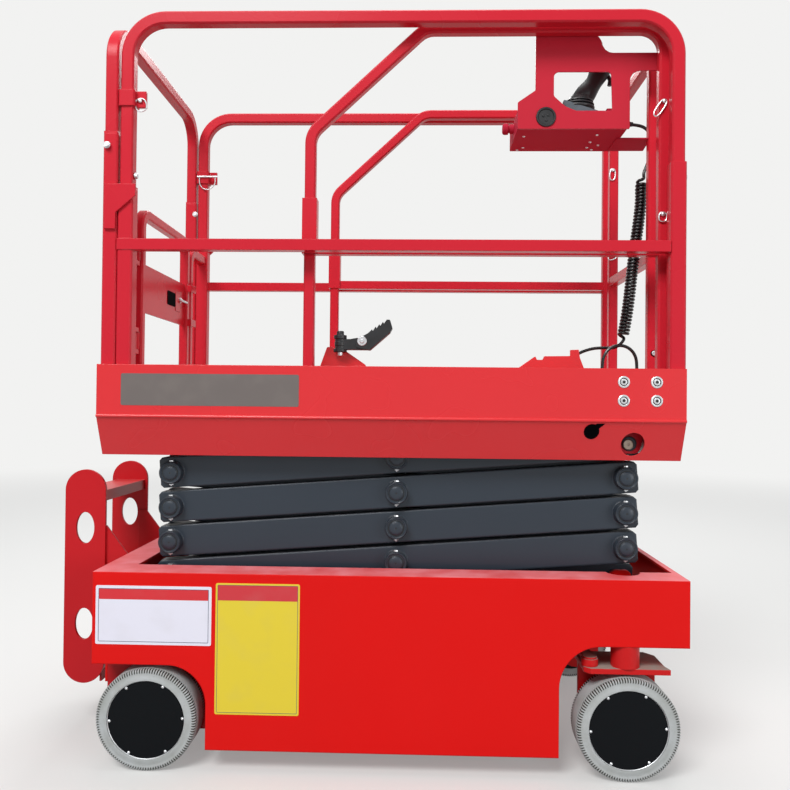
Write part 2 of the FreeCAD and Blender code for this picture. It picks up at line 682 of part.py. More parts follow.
def knuckle(side):
    """Top plate with its kingpin, link post and the upright plate that carries axle and motor."""
    x, y = FRONT_AXLE_X, side * KING_Y
    top = KNUCKLE_Z + KNUCKLE_T
    back, front = x - KNUCKLE_BACK, x + KNUCKLE_FRONT
    y_out, y_in = side * (KING_Y + KNUCKLE_OUT), side * (KING_Y - KNUCKLE_IN)
    cut = KNUCKLE_CUT
    plate = prism_z([(back, y_out - side * cut / 2, 0), (back + cut / 2, y_out, 0), (front, y_out, 0),
                     (front - cut / 4, y_out - side * cut, 0), (front - cut / 4, y_in + side * cut, 0),
                     (front - cut, y_in, 0), (back, y_in, 0)], KNUCKLE_Z, top)
    tube = cyl_z(x, y, KING_R, top, FRONT_SKIRT_Z - SEAT)
    pin = cyl_z(x, y, KING_PIN_R, top, DECK_TOP - PLATE - 2 * KING_WALL)
    plate_in = side * (HUB_PLATE_Y - HUB_PLATE_T)
    upright = side_box(side, back, front - cut / 2, HUB_PLATE_Y - HUB_PLATE_T, HUB_PLATE_Y,
                       WHEEL_R - MOTOR_R, KNUCKLE_Z)
    link_x = x - LINK_BACK
    eye_top = top + 2 * SEAT + LINK_EYE_T
    post = cyl_z(link_x, y, LINK_R, top, eye_top)
    head = cyl_z(link_x, y, LINK_HEAD_R, eye_top, eye_top + LINK_HEAD_T)
    motor = cyl_y(x, WHEEL_R, MOTOR_R, plate_in, plate_in - side * MOTOR_LEN)
    stub = cyl_y(x, WHEEL_R, AXLE_R, plate_in, side * (WHEEL_FACE - AXLE_SHORT))
    return fuse([plate, tube, pin, upright, post, head, motor, stub])


def tie_rod():
    """Straight bar with an eye on each link post."""
    x = FRONT_AXLE_X - LINK_BACK
    z0 = KNUCKLE_Z + KNUCKLE_T + SEAT
    z1 = z0 + LINK_EYE_T
    ends = [cyl_z(x, side * KING_Y, LINK_EYE_R, z0, z1) for side, _ in SIDES]
    bar = Part.makeBox(2 * TIE_R, 2 * KING_Y, z1 - z0 - TIE_LIFT, V(x - TIE_R, -KING_Y, z0 + TIE_LIFT))
    body = fuse(ends + [bar])
    bores = [cyl_z(x, side * KING_Y, LINK_R + RUN, z0 - 5, z1 + 5) for side, _ in SIDES]
    return body.cut(Part.makeCompound(bores))


# Scissor frames

def arm(side, y_in, y_out, level, rising):
    """Arm with closed ends, hollow between its pins; rising is +1 if it climbs towards +X."""
    low, high = -ARM_LEN / 2 - ARM_END, ARM_LEN / 2 + ARM_END
    h = ARM_H / 2
    c = ARM_CORNER
    solid = prism_y([(low, c - h, 0), (low + c, -h, 0), (high - c, -h, 0), (high, c - h, 0),
                     (high, h - c, 0), (high - c, h, 0), (low + c, h, 0), (low, h - c, 0)],
                    side * y_in, side * y_out)
    w = ARM_WALL
    for x0, x1 in ((BOSS_R - ARM_LEN / 2, -BOSS_R), (BOSS_R, ARM_LEN / 2 - BOSS_R)):
        solid = solid.cut(side_box(side, x0, x1, y_in + w, y_out - w, w - h, h - w))
    solid.rotate(V(0, 0, 0), V(0, 1, 0), -rising * math.degrees(ARM_ANGLE))
    solid.translate(V(PIN_MID, 0, pin_z(level) + LEVEL_RISE / 2))
    return solid


def outer_pins(level):
    """Pin centres of an outer frame: lower rear, middle, upper front."""
    return ((PIN_LEFT, pin_z(level)), (PIN_MID, pin_z(level) + LEVEL_RISE / 2), (PIN_RIGHT, pin_z(level + 1)))


def inner_pins(level):
    """Pin centres of an inner frame: lower front, middle, upper rear."""
    return ((PIN_RIGHT, pin_z(level)), (PIN_MID, pin_z(level) + LEVEL_RISE / 2), (PIN_LEFT, pin_z(level + 1)))


def outer_frame(level):
    """Two outer arms with bosses, joined by the shafts through their end pins."""
    pieces = []
    for side, _ in SIDES:
        pieces.append(arm(side, ARM_IN_Y, ARM_OUT_Y, level, 1))
        for x, z in outer_pins(level):
            pieces.append(cyl_y(x, z, BOSS_R, side * ARM_OUT_Y, side * BOSS_Y))
    return pieces


def outer_shafts(level):
    """End shafts and middle stub pins of an outer frame."""
    rear, middle, front = outer_pins(level)
    reach = BOSS_Y + PIN_PROUD
    stub_in = INNER_IN_Y - SIDE_GAP
    shafts = [cyl_y(middle[0], middle[1], PIN_R, side * stub_in, side * reach) for side, _ in SIDES]
    rear_reach = ROLLER_OUT if level == 0 else reach
    front_reach = BOSS_Y + SIDE_GAP + TOP_LUG + PIN_PROUD if level == LEVELS - 1 else reach
    shafts.append(cyl_y(rear[0], rear[1], PIN_R, -rear_reach, rear_reach))
    shafts.append(cyl_y(front[0], front[1], PIN_R, -front_reach, front_reach))
    return shafts


def outer_node(level):
    return fuse(outer_frame(level) + outer_shafts(level))


def inner_node(level):
    """Two inner arms with bores for the pins, joined by two cross tubes."""
    pieces = [arm(side, INNER_IN_Y, INNER_OUT_Y, level, -1) for side, _ in SIDES]
    carries_rod = level == 1
    rear_tube = (LUG_TUBE_S, LUG_TUBE_N, LUG_TUBE_R) if carries_rod else (TIE_TUBE_S, 0.0, TIE_TUBE_R)
    for s, n, r in ((-TIE_TUBE_S, 0.0, TIE_TUBE_R), rear_tube):
        x, z = along_inner(level, s, n)
        pieces.append(cyl_y(x, z, r, -INNER_IN_Y, INNER_IN_Y))
    if carries_rod:
        pieces += rod_lugs()
    body = fuse(pieces)
    top = level == LEVELS - 1
    bored = inner_pins(level)[:2] if top else inner_pins(level)
    bores = []
    for x, z in bored:
        for side, _ in SIDES:
            bores.append(cyl_y(x, z, PIN_R + RUN, side * (INNER_IN_Y - 1), side * (INNER_OUT_Y + 1)))
    body = body.cut(Part.makeCompound(bores))
    if top:
        x, z = inner_pins(level)[2]
        body = fuse([body, cyl_y(x, z, PIN_R, -ROLLER_OUT, ROLLER_OUT)])
    return body


def rollers(x, z):
    """Rollers on the ends of a shaft."""
    pieces = []
    for side, _ in SIDES:
        ring = cyl_y(x, z, ROLLER_R, side * (ROLLER_OUT - ROLLER_W), side * ROLLER_OUT)
        pieces.append(ring.cut(cyl_y(x, z, PIN_R + RUN, 0, side * (ROLLER_OUT + 1))))
    return Part.makeCompound(pieces)


# Lift cylinder

CYL_FOOT = along_inner(0, -TIE_TUBE_S)
CYL_HEAD = along_inner(1, HEAD_S, HEAD_N)
LUG_TUBE = along_inner(1, LUG_TUBE_S, LUG_TUBE_N)
CYL_LEN = math.hypot(CYL_HEAD[0] - CYL_FOOT[0], CYL_HEAD[1] - CYL_FOOT[1])
CYL_ANGLE = math.atan2(CYL_HEAD[1] - CYL_FOOT[1], CYL_FOOT[0] - CYL_HEAD[0])


def on_cylinder(shape):
    """Turn a shape built along +X from the foot so that it lies on the cylinder's line."""
    shape.rotate(V(0, 0, 0), V(0, 1, 0), 180 + math.degrees(CYL_ANGLE))
    shape.translate(V(CYL_FOOT[0], 0, CYL_FOOT[1]))
    return shape


def lift_barrel():
    gland = CYL_LEN - BARREL_SHORT
    eye = cyl_y(0, 0, CYL_EYE_R, -CYL_EYE_W / 2, CYL_EYE_W / 2)
    neck = box(0, BARREL_START + LUG_T, -CYL_EYE_W / 2, CYL_EYE_W / 2, -TIE_TUBE_R, TIE_TUBE_R)
    barrel = cyl_x(0, 0, BARREL_R, BARREL_START, gland)
    body = fuse([eye, neck, barrel])
    body = body.cut(cyl_x(0, 0, ROD_R + SEAT, ROD_START - LUG_T, gland + 1))
    body = body.cut(cyl_y(0, 0, TIE_TUBE_R + RUN, -CYL_EYE_W, CYL_EYE_W))
    return on_cylinder(body)


def lift_rod():
    rod = cyl_x(0, 0, ROD_R, ROD_START, CYL_LEN - ROD_EYE_R / 2)
    eye = cyl_y(CYL_LEN, 0, ROD_EYE_R, -ROD_EYE_W / 2, ROD_EYE_W / 2)
    pin_hole = cyl_y(CYL_LEN, 0, ROD_EYE_R / 2, -ROD_EYE_W, ROD_EYE_W)
    return on_cylinder(fuse([rod, eye]).cut(pin_hole))


def rod_lugs():
    """Two lugs from the second inner frame's rear cross tube to the sides of the rod's eye."""
    pieces = []
    y0 = ROD_EYE_W / 2 + LUG_GAP
    y1 = y0 + LUG_T
    half = ROD_EYE_R - LUG_GAP
    for side, _ in SIDES:
        pieces.append(cyl_y(CYL_HEAD[0], CYL_HEAD[1], ROD_EYE_R, side * y0, side * y1))
        pieces.append(cyl_y(LUG_TUBE[0], LUG_TUBE[1], LUG_TUBE_R + LUG_GAP / 2, side * y0, side * y1))
        pieces.append(prism_y([(LUG_TUBE[0], LUG_TUBE[1] - half, 0), (CYL_HEAD[0], CYL_HEAD[1] - half, 0),
                               (CYL_HEAD[0], CYL_HEAD[1] + half, 0), (LUG_TUBE[0], LUG_TUBE[1] + half, 0)],
                              side * y0, side * y1))
        pieces.append(cyl_y(CYL_HEAD[0], CYL_HEAD[1], ROD_EYE_R / 2, side * (y0 - LUG_GAP + 1), side * y0))
    return pieces


# Platform

def platform_tray():
    """Side panels turned inward below, deck plate, end panels and the rear toe board."""
    t = SHEET
    x0, x1 = PLAT_X0, PLAT_X1
    low = DECK_Z - SKIRT
    low_y = PLAT_Y - SKIRT_IN
    lip = RAIL_Y + POST_TUBE / 2 + SEAT
    inner = PLAT_Y - t
    pieces = []
    for side, _ in SIDES:
        panel = prism_x([(side * PLAT_Y, PLAT_TOP, 0), (side * PLAT_Y, DECK_Z, 0), (side * low_y, low, 0),
                         (side * (low_y - t), low, 0), (side * inner, DECK_Z, 0),
                         (side * inner, PLAT_TOP - t, 0), (side * lip, PLAT_TOP - t, 0),
                         (side * lip, PLAT_TOP, 0)], x0, x1)
        hole = cyl_y(PIN_RIGHT, pin_z(LEVELS), PIVOT_HOLE_R, side * (low_y - 5 * t), side * (PLAT_Y + 5 * t))
        pieces.append(panel.cut(hole))
    pieces.append(box(x0, x1, -inner, inner, DECK_Z - t, DECK_Z))
    for xe in (x0, x1 - t):
        pieces.append(prism_x([(-inner, DECK_Z, 0), (-low_y + t, low, 0), (low_y - t, low, 0),
                               (inner, DECK_Z, 0)], xe, xe + t))
    sill = box(x0, x0 + t, -inner, inner, DECK_Z, PLAT_TOP)
    entry = box(x0 - 1, x0 + t + 1, GATE_HINGE_Y, ENTRY_POST_Y, DECK_Z + SILL_H, PLAT_TOP + 1)
    pieces.append(sill.cut(entry))
    return fuse(pieces)


def platform_lugs():
    """Lugs under the deck each side of the top outer arm's front end."""
    pieces = []
    z = pin_z(LEVELS)
    for side, _ in SIDES:
        for y0 in (ARM_IN_Y - SIDE_GAP - TOP_LUG, BOSS_Y + SIDE_GAP):
            plate = lug(PIN_RIGHT, z, DECK_Z - SHEET, side * y0, side * (y0 + TOP_LUG))
            pieces.append(plate.cut(cyl_y(PIN_RIGHT, z, PIN_R + RUN, side * (y0 - 1), side * (y0 + TOP_LUG + 1))))
    return Part.makeCompound(pieces)


def side_frame(side):
    """Folding upper frame: a tube bent down at both ends, clamped behind and sleeved in front."""
    y = side * RAIL_Y
    tube = square_tube([(REAR_POST_X, y, REAR_FOLD_Z + SEAT), (REAR_POST_X, y, RAIL_Z),
                        (FRONT_POST_X, y, RAIL_Z), (FRONT_POST_X, y, DECK_Z + SEAT)],
                       RAIL_BEND, TUBE, (0, 1, 0))
    sleeve = square_tube([(FRONT_POST_X, y, DECK_Z + SEAT), (FRONT_POST_X, y, MID_Z + LEG_SLEEVE)],
                         0, POST_TUBE, (0, 1, 0), TUBE_CORNER, (POST_TUBE - TUBE) / 2)
    z0, z1 = REAR_FOLD_Z + CLAMP[0], REAR_FOLD_Z + CLAMP[1]
    clamp = square_tube([(REAR_POST_X, y, z0), (REAR_POST_X, y, z1)], 0, TUBE + 2 * CLAMP_T, (0, 1, 0),
                        TUBE_CORNER, CLAMP_T)
    x1 = REAR_POST_X + TUBE / 2 + CLAMP_T
    tab = box(x1 - 1, x1 + CLAMP_TAB, y - CLAMP_T, y + CLAMP_T, z0, z1)
    return fuse([tube, sleeve, clamp, tab])


def capped_post(x, y, top, size):
    """Short square post from the deck, closed by a block at its top."""
    h = size / 2 - 1
    tube = square_tube([(x, y, DECK_Z + SEAT), (x, y, top - POST_CAP)], 0, size, (0, 1, 0))
    return tube.fuse(box(x - h, x + h, y - h, y + h, top - POST_CAP, top))


def lower_frame(side):
    """Rear lower post and the middle rail, which runs past the post's outer face."""
    post = capped_post(REAR_POST_X, side * RAIL_Y, REAR_FOLD_Z, POST_TUBE)
    h = POST_TUBE / 2
    m = MID_TUBE / 2
    y1 = RAIL_Y + h + MID_PROUD
    x0, x1 = REAR_POST_X - h, FRONT_POST_X - h - SEAT
    rail = side_box(side, x0, x1, y1 - MID_TUBE, y1, MID_Z - m, MID_Z + m)
    w = MID_WALL
    core = side_box(side, x0 + w, x1 + w, y1 - MID_TUBE + w, y1 - w, MID_Z - m + w, MID_Z + m - w)
    return fuse([post, rail.cut(core)])


def end_frame():
    """Rear end frame: an inverted U across the platform, on two lower posts."""
    x = END_POST_X
    y = RAIL_Y
    low = END_FOLD_Z + SEAT
    return square_tube([(x, -y, low), (x, -y, END_TOP_Z), (x, y, END_TOP_Z), (x, y, low)],
                       END_BEND, END_TUBE, (1, 0, 0))


def end_posts():
    """Lower posts of the rear end frame, each with a stepped plate that ties it to the rear post."""
    pieces = []
    x0 = END_POST_X + BRACE_X[0]
    x1, x2 = REAR_POST_X + BRACE_X[1], REAR_POST_X + BRACE_X[2]
    z0, z1, z2 = [REAR_FOLD_Z + z for z in BRACE_Z]
    top = REAR_FOLD_Z
    y_in = RAIL_Y + POST_TUBE / 2 + SEAT
    pad = END_POST_TUBE / 2 - TUBE_CORNER
    for side, _ in SIDES:
        post = capped_post(END_POST_X, side * RAIL_Y, END_FOLD_Z, END_POST_TUBE)
        brace = prism_y([(x0, z0, 0), (x0, top, 0), (x2, top, 0), (x2, z2, 0), (x1, z1, 0), (x1, z0, 0)],
                        side * y_in, side * (y_in + BRACE_T))
        seat = side_box(side, END_POST_X + BRACE_X[0], END_POST_X + pad, RAIL_Y + END_POST_TUBE / 2 - 1,
                        y_in, z0, top)
        pieces.append(fuse([post, brace, seat]))
    return Part.makeCompound(pieces)


def entry_frame():
    """Bent tube from the far rear post to the post that the gate shuts against."""
    x = REAR_POST_X
    top = DECK_Z + ENTRY_TOP
    return square_tube([(x, ENTRY_POST_Y, DECK_Z + SEAT), (x, ENTRY_POST_Y, top),
                        (x, RAIL_Y - POST_TUBE / 2 - SEAT, top)], GATE_BEND, ENTRY_TUBE, (1, 0, 0))


def gate():
    """Half-height gate: bent bar and stiles, a panel with a hand slot, two latch tabs, two hinge barrels."""
    x = REAR_POST_X
    y0, y1 = GATE_HINGE_Y + GATE_STILE, GATE_END_Y
    low, top = DECK_Z + GATE_LOW, DECK_Z + GATE_TOP
    loop = square_tube([(x, y0, low), (x, y0, top), (x, y1, top), (x, y1, low)],
                       GATE_BEND, GATE_TUBE, (1, 0, 0))
    h = GATE_TUBE / 2
    t = GATE_SHEET / 2
    sill = box(x - h, x + h, y0 + h, y1 - h, low, low + GATE_TUBE)
    panel_z = [DECK_Z + z for z in GATE_PANEL]
    panel = box(x - t, x + t, y0 + h, y1 - h, panel_z[0], panel_z[1])
    slot_y = y1 - h - GATE_SLOT_IN
    slot_z = (panel_z[0] + panel_z[1] - GATE_SLOT[1]) / 2
    slot = box(x - 2 * t, x + 2 * t, slot_y - GATE_SLOT[0], slot_y, slot_z, slot_z + GATE_SLOT[1])
    pieces = [loop, sill, panel.cut(slot)]
    latch_x = x + ENTRY_TUBE / 2 + SIDE_GAP
    for z0 in (panel_z[0], panel_z[1] - LATCH_H):
        pieces.append(box(x + h - 1, latch_x, y1 - h + TUBE_CORNER, y1 + h - TUBE_CORNER, z0, z0 + LATCH_H))
        pieces.append(box(latch_x, latch_x + LATCH_T, y1 - h + TUBE_CORNER, ENTRY_POST_Y + LATCH_PAST,
                          z0, z0 + LATCH_H))
    bores = []
    for z in HINGES:
        z0, z1 = DECK_Z + z - HINGE_HALF, DECK_Z + z + HINGE_HALF
        pieces.append(cyl_z(x, GATE_HINGE_Y, HINGE_BARREL_R, z0, z1))
        pieces.append(box(x - t, x + t, GATE_HINGE_Y, y0 - h, z0, z1))
        bores.append(cyl_z(x, GATE_HINGE_Y, HINGE_PIN_R + RUN, z0 - 1, z1 + 1))
    return fuse(pieces).cut(Part.makeCompound(bores))


def gate_hinges():
    """Pins held by two leaves each on the near rear post."""
    pieces = []
    x = REAR_POST_X
    reach = HINGE_HALF + 1 + HINGE_LEAF
    r = HINGE_BARREL_R - 1
    for over_deck in HINGES:
        z = DECK_Z + over_deck
        pin = cyl_z(x, GATE_HINGE_Y, HINGE_PIN_R, z - reach, z + reach)
        for low in (z - reach, z + HINGE_HALF + 1):
            pin = pin.fuse(box(x - r, x + r, -RAIL_Y + POST_TUBE / 2, GATE_HINGE_Y, low, low + HINGE_LEAF))
            pin = pin.fuse(cyl_z(x, GATE_HINGE_Y, r, low, low + HINGE_LEAF))
        pieces.append(pin.removeSplitter())
    return Part.makeCompound(pieces)


# Extension deck

def slide_strips():
    """Wear strips on the main deck under the sliding deck."""
    return both_sides(box(EXT_X0, EXT_X1, EXT_Y - STRIP_IN - STRIP_W, EXT_Y - STRIP_IN, DECK_Z, DECK_Z + STRIP))


def extension_deck():
    """Sliding plate with its front toe board and the cable's gland."""
    low = EXT_FLOOR - EXT_T
    x, y, z = lower_points()[-1]
    return fuse([box(EXT_X0, EXT_X1, -EXT_Y, EXT_Y, low, EXT_FLOOR),
                 box(EXT_X1 - SHEET, EXT_X1, -EXT_Y, EXT_Y, EXT_FLOOR, PLAT_TOP),
                 cyl_z(x, y, GLAND_R, EXT_FLOOR, z)])


def extension_side(side):
    """Near or far frame of the extension, sloping down at its rear."""
    y = side * EXT_RAIL_Y
    frame = square_tube([(EXT_REAR_X, y, EXT_FLOOR), (EXT_REAR_X, y, SLOPE_LOW_Z), (SLOPE_HIGH_X, y, EXT_TOP_Z),
                         (EXT_FRONT_X, y, EXT_TOP_Z), (EXT_FRONT_X, y, EXT_FLOOR)],
                        EXT_BEND, EXT_TUBE, (0, 1, 0))
    e = EXT_TUBE / 2
    s = e + SLEEVE_GAP
    sleeve = box(EXT_REAR_X - s, EXT_REAR_X + s, y - s, y + s, EXT_FOLD_Z - SLEEVE_LEN, EXT_FOLD_Z)
    inner = box(EXT_REAR_X - e + 1, EXT_REAR_X + e - 1, y - e + 1, y + e - 1, 0, RAIL_Z)
    m = EXT_MID_TUBE / 2
    rail = box(EXT_REAR_X, EXT_FRONT_X, y - m, y + m, MID_Z - m, MID_Z + m)
    return fuse([frame, sleeve.cut(inner), rail])


def extension_end():
    """Front frame of the extension."""
    x = EXT_FRONT_X
    y = EXT_RAIL_Y - EXT_END_IN
    top = EXT_TOP_Z - EXT_END_TOP
    frame = square_tube([(x, -y, EXT_FLOOR), (x, -y, top), (x, y, top), (x, y, EXT_FLOOR)],
                        EXT_END_BEND, EXT_TUBE, (1, 0, 0))
    m = EXT_MID_TUBE / 2
    return fuse([frame, box(x - m, x + m, -y, y, MID_Z - m, MID_Z + m)])


def control_box():
    """Folded box on the near rail, with a guard plate on its near side, a push knob and a cable gland."""
    x0, x1 = BOX_X0, BOX_X1
    z0 = BOX_Z0
    y0 = BOX_Y0
    case = box(x0, x1, y0, y0 + BOX_DEEP, z0, z0 + BOX_H)
    back = x0 + GUARD_BACK
    post = EXT_FRONT_X + EXT_TUBE / 2 - SEAT
    notch = x1 - GUARD_NOTCH_BACK
    guard = prism_y([(x0, z0, 0), (x0, z0 + GUARD_STEP[0], 0), (back, z0 + GUARD_STEP[1], 0),
                     (back, z0 + GUARD_TOP, 0), (notch, z0 + GUARD_TOP, 0),
                     (notch, z0 + GUARD_NOTCH[1], GUARD_CURVE), (post, z0 + GUARD_NOTCH[1], 0),
                     (post, z0 + GUARD_NOTCH[0], 0), (x1, z0 + GUARD_NOTCH[0], GUARD_CURVE), (x1, z0, 0)],
                    y0 - GUARD_T, y0)
    wx0, wx1 = x0 + WINDOW_X[0] * BOX_LEN, x0 + WINDOW_X[1] * BOX_LEN
    wz0, wz1 = z0 + WINDOW_Z[0], z0 + WINDOW_Z[1]
    c = WINDOW_CORNER
    window = prism_y([(wx0, wz0, c), (wx1, wz0, c), (wx1, wz1, c), (wx0, wz1, c)], y0 - 2 * GUARD_T, y0)
    gland = cyl_x(GLAND_Y, GLAND_Z, GLAND_R, x1, x1 + GLAND_LEN)
    knob_y = y0 + BOX_DEEP / 2
    stem = cyl_x(knob_y, z0 + KNOB_Z, KNOB_STEM_R, x0 - KNOB_STEM, x0)
    knob = cyl_x(knob_y, z0 + KNOB_Z, KNOB_R, x0 - KNOB_STEM - KNOB_T, x0 - KNOB_STEM)
    rear_edge = min(knob.Edges, key=lambda e: e.BoundBox.XMax)
    knob = knob.makeFillet(KNOB_T / 3, [rear_edge])
    return fuse([case, guard.cut(window), gland, stem, knob])


def joystick():
    """Wedge foot, bellows in rings and a leaning grip with a bevelled top."""
    x, y = BOX_X0 + JOY_X * BOX_LEN, BOX_Y0 + JOY_IN
    z0 = BOX_Z0 + BOX_H + SEAT
    z1 = z0 + JOY_BASE_H
    foot = prism_x([(y - JOY_BASE, z0, 0), (y + JOY_BASE, z0, 0), (y + JOY_BASE_TOP, z1, 0),
                    (y - JOY_BASE_TOP, z1, 0)], x - JOY_BASE, x + JOY_BASE)
    lean = V(JOY_LEAN, 0, 1)
    lean.normalize()
    pieces = [foot]
    at = V(x, y, z1)
    for r in JOY_RINGS:
        pieces.append(Part.makeCylinder(r, JOY_RING_H - JOY_RING_GAP, at, lean))
        at = at + lean * JOY_RING_H
    neck = Part.makeCylinder(JOY_NECK_R, JOY_RING_H * len(JOY_RINGS), V(x, y, z1), lean)
    grip = Part.makeCylinder(JOY_GRIP_R, JOY_GRIP_H, at, lean)
    crown = Part.makeCone(JOY_GRIP_R, JOY_CROWN_R, JOY_CROWN_H, at + lean * JOY_GRIP_H, lean)
    return fuse(pieces + [neck, grip, crown])


def pedal_bracket():
    """Bent plate on the sliding deck that carries the foot lever."""
    x0, x1, x2, x3 = [EXT_X0 + x for x in BRACKET_X]
    low, shoulder, top = EXT_FLOOR, EXT_FLOOR + BRACKET_Z[0], EXT_FLOOR + BRACKET_Z[1]
    y = -EXT_Y + PEDAL_IN
    return prism_y([(x0, low, 0), (x3, low, 0), (x3, shoulder, 0), (x2, top, 0), (x1, top, 0)],
                   y, y + BRACKET_T)


def pedal():
    """Foot lever in a block at its rear, cranked upwards at its front, with ribs across its raised end."""
    x0, x1, x2, x3, x4 = [EXT_X0 + x for x in LEVER_X]
    z0, z1, z2, z3 = [EXT_FLOOR + z for z in LEVER_Z]
    c = PEDAL_CORNER
    y = -EXT_Y + PEDAL_IN
    lever = prism_y([(x0, z0, c), (x2, z0, c), (x4, z2, c), (x3, z3, c), (x1, z1, c), (x0, z1, c)],
                    y - PEDAL_T, y - SEAT)
    b0, b1, rise = PEDAL_BLOCK
    block = prism_y([(EXT_X0 + b0, z0 - c, c), (EXT_X0 + b1, z0 - c, c), (EXT_X0 + b1, z0 + rise, c),
                     (EXT_X0 + b0, z0 + rise, c)], y - PEDAL_T, y - SEAT)
    start, stop = V(x1, y - PEDAL_T, z1), V(x3, y - PEDAL_T, z3)
    along = stop - start
    run = along.Length
    along.normalize()
    out = V(-along.z, 0, along.x)
    pieces = [lever, block]
    for k in range(TREADS):
        at = start + along * (run * (k + 1) / (TREADS + 1) - TREAD_W / 2) - out
        up, wide = out * (TREAD_H + 1), along * TREAD_W
        corners = [at, at + wide, at + wide + up, at + up]
        rib = Part.Face(Part.makePolygon(corners + corners[:1])).extrude(V(0, PEDAL_T - SEAT, 0))
        pieces.append(rib)
    return fuse(pieces)


def cable_bracket():
    """Plate on the sliding deck with a raised tab at its front that guides the cable."""
    x0, x1 = [EXT_X1 - x for x in CLIP_X]
    low = EXT_FLOOR
    top = low + CLIP_H
    tab = top + CLIP_TAB
    end = x1 + CLIP_SLOPE[0]
    y = -EXT_Y + CLIP_IN
    return prism_y([(x0, low, 0), (end, low, 0), (end, low + CLIP_SLOPE[1], 0), (x1, tab, 0),
                    (x1 - CLIP_TAB_W, tab, 0), (x1 - CLIP_TAB_W, top, 0), (x0, top, 0)], y - BRACKET_T, y)


# Curly cable from the box to the extension deck

def upper_points():
    """From the box's gland, out past its end and down to the coil."""
    return [(BOX_X1 + x, GLAND_Y, GLAND_Z + z) for x, z in UPPER_RUN]


def lower_points():
    """From the coil, over the cable's bracket in a loop, to the gland on the sliding deck."""
    return [(EXT_X1 + x, GLAND_Y + y, EXT_FLOOR + z) for (x, z), y in zip(LOWER_RUN, LOWER_Y)]


def coil_points():
    """From the upper to the lower stretch, bowed forwards."""
    high, low = V(*upper_points()[-1]), V(*lower_points()[0])
    down = low - high
    points = [tuple(high + down * share + V(bow, 0, 0)) for share, bow in COIL_BOW]
    return [tuple(high)] + points + [tuple(low)]


def cord_path(points):
    """Straight runs through points, each corner an arc as large as its runs allow."""
    points = [V(*p) for p in points]
    edges = []
    radii = []
    start = points[0]
    for i in range(1, len(points) - 1):
        here = points[i]
        back = points[i - 1] - here
        on = points[i + 1] - here
        reach = 0.45 * min(back.Length, on.Length)
        back.normalize()
        on.normalize()
        half = math.acos(max(-1.0, min(1.0, back.dot(on)))) / 2
        radius = reach * math.tan(half)
        radii.append(round(radius))
        bisect = back + on
        bisect.normalize()
        middle = here + bisect * (radius / math.sin(half) - radius)
        edges.append(Part.LineSegment(start, here + back * reach).toShape())
        edges.append(Part.Arc(here + back * reach, middle, here + on * reach).toShape())
        start = here + on * reach
    edges.append(Part.LineSegment(start, points[-1]).toShape())
    print("bend radii", radii)
    return Part.Wire(edges)


def cord(points, r):
    """Tube of a cable's size along its path; its section has CORD_SIDES sides, which keeps its faces few."""
    path = cord_path(points)
    start = V(*points[0])
    ahead = V(*points[1]) - start
    ahead.normalize()
    side = ahead.cross(V(0, 1, 0))
    side.normalize()
    other = ahead.cross(side)
    turns = [2 * math.pi * k / CORD_SIDES for k in range(CORD_SIDES)]
    corners = [start + side * (r * math.cos(a)) + other * (r * math.sin(a)) for a in turns]
    tube = path.makePipeShell([Part.makePolygon(corners + corners[:1])], True, False)
    section = CORD_SIDES / 2 * r * r * math.sin(2 * math.pi / CORD_SIDES)
    print("volume over section times length", round(tube.Volume / (section * path.Length), 4))
    return tube


def save(name, shape):
    shape = shape.copy()
    shape.translate(V(ORIGIN_SHIFT, 0, 0))
    shape.exportStep("parts/" + name + ".step")


os.makedirs("parts", exist_ok=True)
save("chassis", chassis())
save("chassis_deck", chassis_deck())
save("belly_pan", belly_pan())
save("battery_block", battery_block())
save("pivot_brackets", pivot_brackets())
save("chassis_channels", channel(pin_z(0), DECK_TOP))
save("rear_axles", rear_axles())
save("steps", steps())
for prefix, axle_x in (("rear", REAR_AXLE_X), ("front", FRONT_AXLE_X)):
    for side, name in SIDES:
        save(prefix + "_tyre_" + name, tyre(axle_x, side))
        save(prefix + "_wheel_" + name, wheel_centre(axle_x, side))
for side, name in SIDES:
    save("knuckle_" + name, knuckle(side))
save("tie_rod", tie_rod())
for level in range(LEVELS):
    save("outer_arms_%d" % (level + 1), outer_node(level))
    save("inner_arms_%d" % (level + 1), inner_node(level))
save("chassis_rollers", rollers(PIN_LEFT, pin_z(0)))
save("platform_rollers", rollers(PIN_LEFT, pin_z(LEVELS)))
save("lift_barrel", lift_barrel())
save("lift_rod", lift_rod())
save("platform_tray", platform_tray())
save("platform_lugs", platform_lugs())
save("platform_channels", channel(pin_z(LEVELS), DECK_Z - SHEET))
for side, name in SIDES:
    save("side_frame_" + name, side_frame(side))
    save("lower_frame_" + name, lower_frame(side))
save("end_frame", end_frame())
save("end_posts", end_posts())
save("entry_frame", entry_frame())
save("gate", gate())
save("gate_hinges", gate_hinges())
save("slide_strips", slide_strips())
save("extension_deck", extension_deck())
for side, name in SIDES:
    save("extension_side_" + name, extension_side(side))
save("extension_end", extension_end())
save("control_box", control_box())
save("joystick", joystick())
save("pedal_bracket", pedal_bracket())
save("pedal", pedal())
save("cable_bracket", cable_bracket())
save("cable_upper", cord(upper_points(), CORD_R))
save("cable_coil", cord(coil_points(), COIL_R))
save("cable_lower", cord(lower_points(), CORD_R))
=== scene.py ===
import json
import math

import bmesh
import bpy
import numpy as np
from mathutils import Matrix, Vector
from mathutils.geometry import tessellate_polygon

